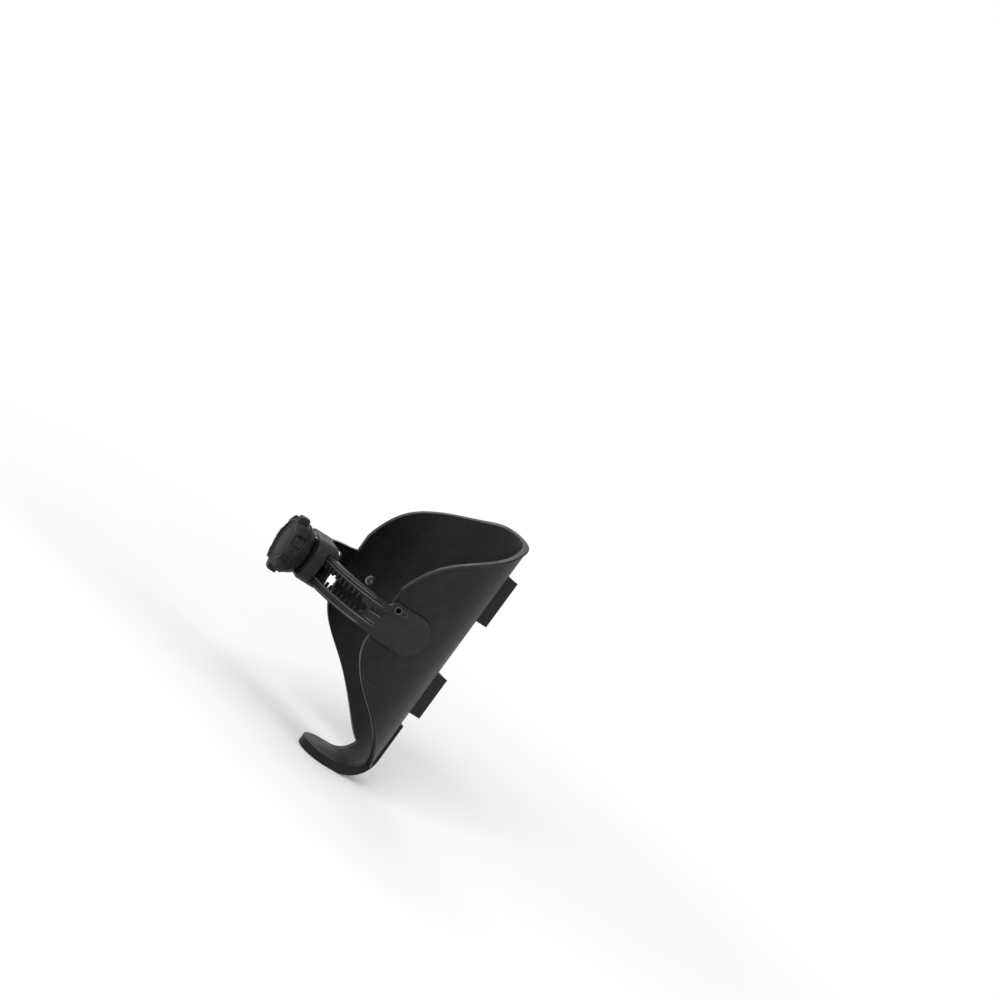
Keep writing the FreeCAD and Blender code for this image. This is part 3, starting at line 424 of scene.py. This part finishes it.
STRAP_HEIGHT = -3.0
STRAP_HALF = 8.7
STRAP_WEB = 1.5
RAIL_HEIGHT = 0.6
RAIL_WIDTH = 1.7
ROOT_IN = 43.5
ROOT_WALL = 2.1
ROOT_ANGLE = 95.0
ROOT_RADIUS = 11.0
ROOT_LIFT = 1.4
LEDGE_DEPTH = 0.5
JOG_START = 65.0
JOG_END = 72.0
SLOT_END = 63.0
SLOT_TAIL_LAND = 2.5
SLOT_LOW = -4.2
RACK_TIP = 2.2
RACK_ROOT = 5.3
RACK_TIP_WIDTH = 0.5
RACK_ROOT_WIDTH = 1.75
TOOTH_STEP = 3.9
TAIL_CORNER = 3.0
ROOT_MIDDLE = ROOT_IN + ROOT_WALL / 2
ROOT_SPREAD = (72.5, 75.5)
ROOT_CAP = 14.3
RAIL_SLOPE = 0.2
LOW_LINE = -5.6
HIGH_LINES = (5.6, 6.3)
ROOT_LINES = (-3.0, 0.6)
LEDGE_LINES = (4.4, 4.6)
BLIND_TEETH = [64.9, 68.2, 71.5]
BLIND_HALF = (0.7, 0.85)
BLIND_LEVELS = [1.6, 1.7, 4.1, 4.2]
BLIND_EDGES = [5.36, 5.42, 5.48, 5.54]
BLIND_DEPTH = 0.9
RIBS = [
    (72.4, -4.75, 0.0), (72.0, -3.1, 0.0), (73.2, 1.05, 0.0), (71.0, 6.05, 0.0),
    (64.0, -7.8, RAIL_HEIGHT), (64.0, 7.8, RAIL_HEIGHT),
]
SHORT_RIBS = (1, 2)
RIB_SIZE = (0.28, 0.32)
CROWN_SIZE = (0.3, 0.12)
CROWN_SINK = 0.2
CROWN_START = (20, 26)


def soft_step(value, start, end):
    """0 before start, 1 after end, and a smooth rise between them."""
    share = np.clip((value - start) / (end - start), 0, 1)
    return share * share * (3 - 2 * share)


def strap_skins(front, tail, first):
    """Outer and inner skin of a strap as grids of points, and a mask of the cells that exist.

    A column stands at each angle round the cradle and at each corner of a tooth. Its fifteen lines
    follow the edges, the rails, the slot, the blind teeth and the ledge, so that each step in the
    surface lies on a line.
    """
    middle = front + STRAP_WEB / 2
    pitch = math.radians(TOOTH_STEP) * middle
    half_tip = math.degrees((pitch - RACK_TIP_WIDTH) / 2 / middle)
    half_root = math.degrees((pitch - RACK_ROOT_WIDTH) / 2 / middle)
    slot_start = tail + SLOT_TAIL_LAND
    round_radius = (RACK_TIP - SLOT_LOW) / 2
    round_angle = SLOT_END - math.degrees(round_radius / front)
    stop = SLOT_END + math.degrees(SLOT_LOW / middle)
    centres = (np.arange(-20, 20) + first) * TOOTH_STEP
    centres = centres[(centres - half_tip > slot_start) & (centres + half_tip < stop)]
    corners = (centres[:, None] + np.array([-half_tip, -half_root, half_root, half_tip])).ravel()
    arc = round_angle + math.degrees(round_radius / front) * np.sin(np.radians(np.arange(0, 91, 10)))
    tail_arc = tail + np.degrees(TAIL_CORNER / front) * (1 - np.cos(np.radians(np.arange(0, 91, 15))))
    centre_x = WING_OUT * math.cos(math.radians(ROOT_ANGLE))
    root_end = math.degrees(math.acos((centre_x - ROOT_RADIUS) / ROOT_MIDDLE))
    cap = root_end - ROOT_CAP * (1 - np.sin(np.radians(np.arange(0, 91, 7.5))))
    blind_half, blind_edge = BLIND_HALF
    blind_corners = np.array([-blind_edge, -blind_half, blind_half, blind_edge])
    blind = (np.array(BLIND_TEETH)[:, None] + blind_corners).ravel()
    exact = np.concatenate([corners, arc, tail_arc, cap, blind, [slot_start, slot_start + 0.01]])
    plain = np.concatenate([np.arange(tail, root_end, 1.1), np.arange(JOG_START, JOG_END, 0.35)])
    plain = plain[np.abs(plain[:, None] - exact).min(axis=1) > 0.25]
    angle = np.unique(np.round(np.concatenate([exact, plain]), 5))

    on_root = soft_step(angle, JOG_START + 1, JOG_END)
    level_x = ROOT_MIDDLE * np.cos(np.radians(angle))
    past_centre = np.clip(centre_x - level_x, 0, ROOT_RADIUS)
    round_half = np.sqrt(np.clip(ROOT_RADIUS**2 - past_centre**2, 0, None))
    spread = soft_step(angle, *ROOT_SPREAD)
    half = STRAP_HALF + (round_half - STRAP_HALF) * spread
    along = np.clip(TAIL_CORNER - np.radians(angle - tail) * front, 0, TAIL_CORNER)
    half = half - TAIL_CORNER + np.sqrt(TAIL_CORNER**2 - along**2)
    low, high = ROOT_LIFT * spread - half, ROOT_LIFT * spread + half

    off_centre = np.abs(angle[:, None] - centres).min(axis=1)
    flank = np.clip((half_tip - off_centre) / (half_tip - half_root), 0, 1)
    rack = RACK_TIP + (RACK_ROOT - RACK_TIP) * flank
    past = np.radians(np.clip(angle - round_angle, 0, None)) * front
    opening = np.sqrt(np.clip(round_radius**2 - past**2, 0, None))
    slot_middle = (RACK_TIP + SLOT_LOW) / 2
    in_round = (angle > round_angle) & (angle <= SLOT_END + 1e-4)
    slot_high = np.where(in_round, slot_middle + opening, rack)
    slot_low = np.where(in_round, slot_middle - opening, SLOT_LOW)

    rail_foot = STRAP_HALF - RAIL_WIDTH
    rail_in = rail_foot + RAIL_SLOPE
    past_slot = soft_step(angle, SLOT_END + 0.1, SLOT_END + 1)
    blind_lines = [
        past_slot * level + (1 - past_slot) * edge for level, edge in zip(BLIND_LEVELS, BLIND_EDGES)
    ]
    band = [low, -rail_in, -rail_foot, LOW_LINE, slot_low, slot_high, *blind_lines]
    band += [*HIGH_LINES, rail_foot, rail_in, high]
    root = [low, -rail_in, -rail_foot, LOW_LINE, *ROOT_LINES, *blind_lines]
    root += [*LEDGE_LINES, rail_foot, rail_in, high]
    band, root = (np.stack([line + 0 * angle for line in part], axis=1) for part in (band, root))
    lines = band * (1 - on_root[:, None]) + root * on_root[:, None]
    lines = np.clip(lines, low[:, None], high[:, None])

    rails = np.array([1, 1] + 11 * [0] + [1, 1])
    ledge = np.array(11 * [0] + [1, 1, 1, 1])
    pockets = np.array(7 * [0] + [1, 1] + 6 * [0])
    rail_run = 1 - soft_step(angle, JOG_START - 1.5, JOG_START + 3)
    off_blind = np.abs(angle[:, None] - np.array(BLIND_TEETH)).min(axis=1)
    sunk = np.clip((blind_edge - off_blind) / (blind_edge - blind_half), 0, 1)
    inside = front + (ROOT_IN - front) * on_root
    outside = front + STRAP_WEB + (ROOT_IN + ROOT_WALL - front - STRAP_WEB) * on_root
    outer = outside[:, None] + RAIL_HEIGHT * rails * rail_run[:, None]
    outer = outer - BLIND_DEPTH * pockets * sunk[:, None]
    outer = outer - LEDGE_DEPTH * ledge * soft_step(angle, JOG_END - 1, JOG_END + 1)[:, None]
    skins = []
    for radius in (outer, inside[:, None] * np.ones_like(outer)):
        level = np.arccos(np.clip(level_x[:, None] / radius, -1, 1))
        turn = np.radians(angle)[:, None] * (1 - on_root[:, None]) + level * on_root[:, None]
        skins.append(np.stack([radius * np.cos(turn), radius * np.sin(turn), lines], axis=-1))
    keep = np.ones((len(angle) - 1, lines.shape[1] - 1), bool)
    keep[(angle[:-1] > slot_start - 1e-4) & (angle[1:] < SLOT_END + 1e-3), 4] = False
    return skins[0], skins[1], keep


def two_skins(outer, inner, keep):
    """Faces of a sheet between two skins: the kept cells of each, and a wall wherever a kept cell ends."""
    rows, columns = outer.shape[:2]
    index = np.arange(rows * columns).reshape(rows, columns)
    count = rows * columns
    cells = [index[:-1, :-1], index[1:, :-1], index[1:, 1:], index[:-1, 1:]]
    skin = np.stack([corner[keep] for corner in cells], axis=1)
    framed = np.pad(keep, 1)
    along = framed[1:-1, 1:] != framed[1:-1, :-1]
    across = framed[1:, 1:-1] != framed[:-1, 1:-1]
    a, b = index[:-1, :][along], index[1:, :][along]
    c, d = index[:, :-1][across], index[:, 1:][across]
    walls = [np.stack([p, q, q + count, p + count], axis=1) for p, q in ((a, b), (c, d))]
    return np.concatenate([skin, skin + count] + walls)


def strap_ribs(front, tail):
    """Thin round-topped ribs along the band and low crowns on its rails, each at its own height.

    The crowns sink into the rails before the adjuster, where the channel leaves them no room.
    """
    ribs = []
    for number, (end, height, lift) in enumerate(RIBS):
        start = SLOT_END + 1.0 if number in SHORT_RIBS else tail + 6.0
        angle = np.linspace(start, end, max(12, round(end - start)))
        radius = front + STRAP_WEB
        on_root = soft_step(angle, JOG_START + 1, JOG_END)
        radius = radius + (ROOT_IN + ROOT_WALL - radius) * on_root + lift
        radius = radius - CROWN_SINK * (lift > 0) * (1 - soft_step(np.abs(angle), *CROWN_START))
        turn = np.radians(angle)
        outward = np.stack([np.cos(turn), np.sin(turn), 0 * turn], axis=1)
        path = outward * radius[:, None] + [0, 0, height]
        ribs.append(bead(path, outward, *(CROWN_SIZE if lift else RIB_SIZE), sides=10))
    return joined(ribs)


strap_plastic = moulded_plastic(
    "strap_plastic", (0.0070, 0.0070, 0.0075), 0.34, 3400.0, 0.000015, 0.00025,
    specular=0.24, dusty=0.04,
)
# The ribs' plastic is the strap's nylon made glossier. Its colour is about seven times paler than the
# strap's, which paints the highlight along the ribs and rail crowns.
glossy_rib_plastic_painted_highlight = moulded_plastic(
    "glossy_strap_rib_painted_highlight", (0.050, 0.050, 0.052), 0.24, 3400.0, 0.000008, 0.0002,
    specular=0.6, dusty=0.04,
)
STRAPS = {
    "near": (44.9, -45.0, 0.0, np.array([1, 1, 1])),
    "far": (42.35, -64.0, 0.5, np.array([1, -1, -1])),
}
for word, (front, tail, first, turned) in STRAPS.items():
    outer, inner, keep = strap_skins(front, tail, first)
    sheet = np.concatenate([outer.reshape(-1, 3), inner.reshape(-1, 3)])
    ribs, rib_faces = strap_ribs(front, tail)
    side = turned[1]
    for name, points, faces, material in (
        (f"{word}_toothed_strap", sheet, two_skins(outer, inner, keep), strap_plastic),
        (f"{word}_strap_ribs", ribs, rib_faces, glossy_rib_plastic_painted_highlight),
    ):
        points = points * turned + [CRADLE_AXIS, 0, STRAP_HEIGHT]
        piece = make_piece(name, points, faces, material, sharp=28.0)
        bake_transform(piece)
        if material is strap_plastic:
            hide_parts(f"{word}_strap")

# Strap eyelets: a moulded collar round the small hole at each strap's root, with an open loop beside it.
# They are part of the strap's moulding, raised on the lowered part of its root above the ledge.

EYELET_ANGLE = 79.0
EYELET_HEIGHT = 8.8
EYELET_RADIUS = 1.75
COLLAR_TUBE = 0.55
HOLE_RADIUS = 1.4
LOOP_START = 1.9
LOOP_END = 4.2
LOOP_RADIUS = 1.05
LOOP_SIZE = (0.42, 0.55)


def on_root_face(across, height):
    """Points on the root's lowered face, from distances round the cradle from the eyelet and heights."""
    radius = ROOT_IN + ROOT_WALL - LEDGE_DEPTH
    turn = math.radians(EYELET_ANGLE) + np.asarray(across) / radius
    lift = np.asarray(height) + EYELET_HEIGHT
    face = np.stack([radius * np.cos(turn), radius * np.sin(turn), lift], axis=-1)
    outward = np.stack([np.cos(turn), np.sin(turn), np.zeros_like(turn)], axis=-1)
    return face, outward


def collar_ring(sides=10, columns=48):
    """A ring of round section about the eyelet."""
    around = np.linspace(0, 2 * np.pi, columns, endpoint=False)
    section = np.linspace(0, 2 * np.pi, sides, endpoint=False)
    ring = EYELET_RADIUS + COLLAR_TUBE * np.cos(section)[:, None]
    face, outward = on_root_face(ring * np.cos(around), ring * np.sin(around))
    points = face + COLLAR_TUBE * np.sin(section)[:, None, None] * outward
    return points.reshape(-1, 3), grid_faces(sides, columns, closed=True, looped=True)


def loop_path():
    """Distances and heights along a U that opens towards the eyelet."""
    half_turn = np.linspace(np.pi / 2, -np.pi / 2, 13)
    leg = np.linspace(LOOP_START, LOOP_END, 8)[:-1]
    side = np.full(len(leg), LOOP_RADIUS)
    across = np.concatenate([leg, LOOP_END + LOOP_RADIUS * np.cos(half_turn), leg[::-1]])
    height = np.concatenate([side, LOOP_RADIUS * np.sin(half_turn), -side])
    return across, height


def eyelet_hole_shade():
    """A shallow dark disc inside the collar, let into the root, painted as the shade inside the eyelet's
    hole.
    """
    around = np.linspace(0, 2 * np.pi, 32, endpoint=False)
    reach = np.array([0.0, 0.6, HOLE_RADIUS - 0.05, HOLE_RADIUS])[:, None]
    face, outward = on_root_face(reach * np.cos(around), reach * np.sin(around))
    lift = np.array([0.04, 0.04, 0.04, -0.2])[:, None, None]
    return (face + lift * outward).reshape(-1, 3), grid_faces(4, 32, closed=True)


# The collar and loop are the strap's nylon. Their colour is about two and a half times paler than the
# strap's, which paints the light caught on them.
collar_painted_highlight_plastic = moulded_plastic(
    "eyelet_collar_painted_highlight", (0.018, 0.018, 0.019), 0.30, 3400.0, 0.00001, 0.0003, specular=0.4, dusty=0.04
)
# Inside each collar sits a black disc of painted shade, standing for the eyelet's hole, which the strap's
# own surface leaves closed.
painted_hole_shade = moulded_plastic(
    "eyelet_shadow", (0.0015, 0.0015, 0.0015), 0.8, 3000.0, 0.00001, 0.0002, specular=0.0, dusty=0.0
)
for word, (front, tail, first, turned) in STRAPS.items():
    path, outward = on_root_face(*loop_path())
    points, faces = joined([collar_ring(), bead(path, outward, *LOOP_SIZE, sides=10)])
    points = points * turned + [CRADLE_AXIS, 0, STRAP_HEIGHT]
    collar = make_piece(f"{word}_eyelet_collar", points, faces, collar_painted_highlight_plastic)
    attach(collar, "cage")
    points, faces = eyelet_hole_shade()
    points = points * turned + [CRADLE_AXIS, 0, STRAP_HEIGHT]
    hole = make_piece(f"{word}_eyelet_hole_shade", points, faces, painted_hole_shade)
    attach(hole, "cage")

# Rivets and small steel parts: zinc-plated rivets hold the strap roots from inside the wings.
# The back plate's screws, the knob's screw and the detent spring are plain turned or rolled steel.


def plain_steel(name, colour, roughness, lines, stretch):
    """Steel with fine tool lines drawn out along one axis, dull spots and rounded edges."""
    material = bpy.data.materials.new(name)
    material.use_nodes = True
    tree = material.node_tree
    shader = tree.nodes["Principled BSDF"]
    shader.inputs["Metallic"].default_value = 1.0
    place = put(tree, "ShaderNodeTexCoord", {}).outputs["Object"]
    drawn = put(tree, "ShaderNodeMapping", {"Vector": place, "Scale": stretch}).outputs[0]
    tool = put(tree, "ShaderNodeTexNoise", {"Vector": drawn, "Scale": lines, "Detail": 3.0}).outputs["Fac"]
    spots = put(
        tree, "ShaderNodeTexNoise", {"Vector": place, "Scale": 500.0, "Detail": 5.0}
    ).outputs["Fac"]
    turn = use_group(tree, ROUNDED_EDGE, {"Radius": 0.0002})
    dull = tuple(0.6 * part for part in colour) + (1.0,)
    surface = blend_colour(tree, spots, dull, tuple(colour) + (1.0,))
    tree.links.new(surface, shader.inputs["Base Color"])
    tree.links.new(scaled(tree, tool, 0.25, roughness - 0.1), shader.inputs["Roughness"])
    bump = put(
        tree, "ShaderNodeBump",
        {"Strength": 0.5, "Distance": 0.00002, "Height": tool, "Normal": turn["Normal"]},
    )
    tree.links.new(bump.outputs[0], shader.inputs["Normal"])
    return material


RIVET_PROFILE = [
    (41.62, 0.0), (41.6, 0.55), (41.45, 0.8), (41.4, 1.2), (41.46, 2.0), (41.62, 2.7), (41.85, 3.1),
    (42.1, 3.2), (42.3, 3.2), (42.3, 1.6), (45.0, 1.6), (45.0, 0.0),
]


def rivet_surface():
    """A rivet turned about the X axis: a domed head with a set mark in its middle, and a plain shank."""
    along, radius = np.array(RIVET_PROFILE).T[:, :, None]
    around = np.linspace(0, 2 * np.pi, 48, endpoint=False)
    y, z = radius * np.cos(around), radius * np.sin(around)
    points = np.stack([along + 0 * around, y, z], axis=-1)
    return points.reshape(-1, 3), grid_faces(len(RIVET_PROFILE), 48, closed=True)


rivet_steel = plain_steel("rivet_steel", (0.20, 0.20, 0.21), 0.36, 2500.0, (1.0, 0.1, 1.0))
screw_steel = plain_steel("screw_steel", (0.50, 0.50, 0.51), 0.32, 3000.0, (0.1, 1.0, 1.0))
spring_steel = plain_steel("spring_steel", (0.60, 0.58, 0.54), 0.28, 3000.0, (1.0, 0.05, 1.0))
for word, (front, tail, first, turned) in STRAPS.items():
    points, faces = rivet_surface()
    swing = np.array(Matrix.Rotation(math.radians(ROOT_ANGLE), 3, "Z")).T
    points = (points @ swing + [0, 0, ROOT_LIFT]) * turned + [CRADLE_AXIS, 0, STRAP_HEIGHT]
    rivet = make_piece(f"{word}_domed_rivet", points, faces, rivet_steel)
    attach(rivet, "cage")
    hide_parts(f"{word}_strap_rivet")
dress(screw_steel, "upper_near_plate_screw", "upper_far_plate_screw")
dress(screw_steel, "lower_near_plate_screw", "lower_far_plate_screw", "knob_screw")
dress(spring_steel, "detent_spring")

# Adjuster: a moulded housing that the straps slide through, with a curved back plate screwed to it.
# Its plastic is the cradle's, from a mould with a coarser grain.

housing_plastic = moulded_plastic(
    "housing_plastic", (0.0060, 0.0060, 0.0064), 0.42, 2200.0, 0.00004, 0.0006, specular=0.18
)
dress(housing_plastic, "adjuster_housing", "adjuster_back_plate")

# Drive: a hard, smooth acetal pinion between the two racks, and a natural nylon washer under the knob.
# Both are machined or moulded smooth, so they are glossier than the rest.

pinion_plastic = moulded_plastic(
    "pinion_plastic", (0.028, 0.028, 0.030), 0.28, 3500.0, 0.000005, 0.0002, specular=0.5, dusty=0.03
)
washer_plastic = moulded_plastic(
    "washer_plastic", (0.46, 0.45, 0.42), 0.35, 3500.0, 0.000005, 0.0002, specular=0.5, dusty=0.05
)
dress(pinion_plastic, "drive_pinion")
dress(washer_plastic, "knob_washer")

# Knob: a chunky moulded grip with eight lobes over a stepped skirt, and a cap pressed into its face.
# Its grain is the coarsest on the part, and the lobes' edges are rubbed by hands.

KNOB_BACK = 52.0
KNOB_VALLEY = 13.9
KNOB_RADIUS = 16.2
LOBES = 8
LOBE_ROOT = 13.2
LOBE_TIP = 9.0
VALLEY_HOLLOW = 0.7
HOLLOW_RUN = (10.5, 11.5)
KNOB_PROFILE = [
    (0.0, 0.0, 0), (0.0, 11.0, 0), (0.12, 11.6, 0), (0.5, 12.1, 0), (1.6, 12.8, 0), (2.8, 13.3, 0),
    (3.7, 13.6, 0), (3.95, 13.95, 0), (4.3, 14.05, 0), (4.6, 13.9, 0), (4.75, 13.4, 0), (5.6, 13.3, 0),
    (6.1, 13.35, 0), (6.25, 13.5, 0.4), (6.45, 13.8, 0.9), (6.8, 13.9, 1), (8.0, 13.9, 1), (9.4, 13.9, 1),
    (10.5, 13.85, 1), (11.0, 13.7, 0.97), (11.3, 13.5, 0.85), (11.6, 13.2, 0.6), (11.8, 12.9, 0.35),
    (11.95, 12.6, 0.12), (12.0, 12.3, 0), (12.2, 12.1, 0), (12.2, 11.75, 0), (12.1, 11.6, 0),
    (11.45, 11.45, 0), (11.3, 11.3, 0), (11.3, 8.75, 0), (11.22, 8.4, 0), (10.9, 8.27, 0),
    (10.25, 8.25, 0), (10.25, 0.0, 0),
]


def knob_surface(columns=540):
    """A turned profile of (distance, radius, lobe share), pushed out by flat-topped lobes."""
    along, radius, share = (np.array(values, float)[:, None] for values in zip(*KNOB_PROFILE))
    around = np.linspace(0, 360, columns, endpoint=False)[None, :]
    pitch = 360 / LOBES
    off_lobe = np.abs((around + pitch / 2) % pitch - pitch / 2)
    lobe = 1 - soft_step(off_lobe, LOBE_TIP, LOBE_ROOT)
    radius = radius + (KNOB_RADIUS - KNOB_VALLEY) * share * lobe
    hollow = VALLEY_HOLLOW * (1 - lobe) * share * soft_step(along, *HOLLOW_RUN)
    x = KNOB_BACK + along - hollow + 0 * around
    turn = np.radians(around)
    points = np.stack([x, -radius * np.sin(turn), radius * np.cos(turn)], axis=-1)
    return points.reshape(-1, 3), grid_faces(len(KNOB_PROFILE), columns, closed=True)


knob_plastic = moulded_plastic(
    "knob_plastic", (0.0055, 0.0055, 0.0060), 0.44, 1700.0, 0.00006, 0.0004, specular=0.15, dusty=0.05
)
points, faces = knob_surface()
knob = make_piece("lobed_knob", points + [CRADLE_AXIS, 0, STRAP_HEIGHT], faces, knob_plastic, sharp=50.0)
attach(knob, "knob")
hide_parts("knob_body")
dress(knob_plastic, "knob_cap")

# Floor, light and camera: a white studio floor that keeps the shadow, two soft lamps and a white surround.
# The camera stands a little above the near wing, rolled as in the photograph.

LENS = 85.0
SENSOR = 36.0
PICTURE = 1000
CAMERA_TURN = 22.0
CAMERA_DISTANCE = 1.2
CAMERA_HEIGHT = 0.203
ROLL = 36.0
AXIS_PIXEL = (386.3, 598.0)
FLOOR_HEIGHT = -0.0893
FLOOR_HALF = 6.0

floor_mesh = bpy.data.meshes.new("studio_floor")
corners = [(x * FLOOR_HALF, y * FLOOR_HALF, FLOOR_HEIGHT) for x, y in ((-1, -1), (1, -1), (1, 1), (-1, 1))]
floor_mesh.from_pydata(corners, [], [(0, 1, 2, 3)])
floor = bpy.data.objects.new("studio_floor", floor_mesh)
bpy.context.collection.objects.link(floor)
floor_paint = bpy.data.materials.new("floor_paint")
floor_paint.use_nodes = True
tree = floor_paint.node_tree
paint = tree.nodes["Principled BSDF"]
paint.inputs["Base Color"].default_value = (0.9, 0.9, 0.9, 1.0)
paint.inputs["Roughness"].default_value = 0.7
paint.inputs["Specular IOR Level"].default_value = 0.1
spot = put(tree, "ShaderNodeTexCoord", {}).outputs["Object"]
reach = put(tree, "ShaderNodeVectorMath", {0: spot}, operation="LENGTH").outputs["Value"]
away = put(
    tree, "ShaderNodeMapRange", {"Value": reach, "From Min": 0.15, "From Max": 0.5},
    interpolation_type="SMOOTHSTEP",
)
seen = put(tree, "ShaderNodeLightPath", {}).outputs["Is Camera Ray"]
share = put(tree, "ShaderNodeMath", {0: away.outputs[0], 1: seen}, operation="MULTIPLY").outputs[0]
white = put(tree, "ShaderNodeEmission", {"Color": (1, 1, 1, 1), "Strength": 1.0})
both = put(tree, "ShaderNodeMixShader", {0: share, 1: paint.outputs[0], 2: white.outputs[0]})
tree.links.new(both.outputs[0], tree.nodes["Material Output"].inputs["Surface"])
floor_mesh.materials.append(floor_paint)

world = bpy.data.worlds.new("studio")
bpy.context.scene.world = world
world.use_nodes = True
tree = world.node_tree
tree.nodes.clear()
path = put(tree, "ShaderNodeLightPath", {}).outputs
glossy = put(
    tree, "ShaderNodeMath", {0: path["Is Camera Ray"], 1: path["Is Glossy Ray"]}, operation="MAXIMUM"
)
shown = put(
    tree, "ShaderNodeMath", {0: glossy.outputs[0], 1: path["Is Transmission Ray"]}, operation="MAXIMUM"
)
strength = put(tree, "ShaderNodeMapRange", {"Value": shown.outputs[0], "To Min": 0.55, "To Max": 1.0})
sky = put(tree, "ShaderNodeBackground", {"Color": (1, 1, 1, 1), "Strength": strength.outputs[0]})
surround = put(tree, "ShaderNodeOutputWorld", {})
tree.links.new(sky.outputs[0], surround.inputs["Surface"])

turn = math.radians(CAMERA_TURN)
eye = Vector(
    (CRADLE_AXIS * MM + CAMERA_DISTANCE * math.sin(turn), CAMERA_DISTANCE * math.cos(turn), CAMERA_HEIGHT)
)
target = Vector((CRADLE_AXIS * MM, 0, 0))
ahead = (target - eye).normalized()
right = ahead.cross(Vector((0, 0, 1))).normalized()
up = right.cross(ahead)
roll = math.radians(ROLL)
picture_right = right * math.cos(roll) + up * math.sin(roll)
picture_up = up * math.cos(roll) - right * math.sin(roll)
focal = LENS / SENSOR * PICTURE
shift_right, shift_up = AXIS_PIXEL[0] - PICTURE / 2, PICTURE / 2 - AXIS_PIXEL[1]
ahead = (ahead * focal - picture_right * shift_right - picture_up * shift_up).normalized()
picture_right = (picture_right - ahead * picture_right.dot(ahead)).normalized()
picture_up = picture_right.cross(ahead)
camera_data = bpy.data.cameras.new("camera")
camera_data.lens = LENS
camera_data.sensor_width = SENSOR
camera_data.clip_start = 0.01
camera = bpy.data.objects.new("camera", camera_data)
bpy.context.collection.objects.link(camera)
axes = Matrix((picture_right, picture_up, -ahead)).transposed()
camera.matrix_world = Matrix.Translation(eye) @ axes.to_4x4()
bpy.context.scene.camera = camera

LAMPS = [
    ("key_lamp", Vector((0.75, 0.75, 0.85)), 0.7, 11.0),
    ("side_lamp", Vector((-0.75, 0.9, 0.45)), 0.6, 5.0),
    ("back_lamp", Vector((0.2, -1.0, 0.8)), 0.7, 3.5),
]
for name, place, size, power in LAMPS:
    lamp = bpy.data.lights.new(name, "AREA")
    lamp.size = size
    lamp.energy = power
    holder = bpy.data.objects.new(name, lamp)
    bpy.context.collection.objects.link(holder)
    aim = (target - place).to_track_quat("-Z", "Y")
    holder.matrix_world = Matrix.Translation(place) @ aim.to_matrix().to_4x4()

bpy.context.scene.view_settings.view_transform = "Standard"
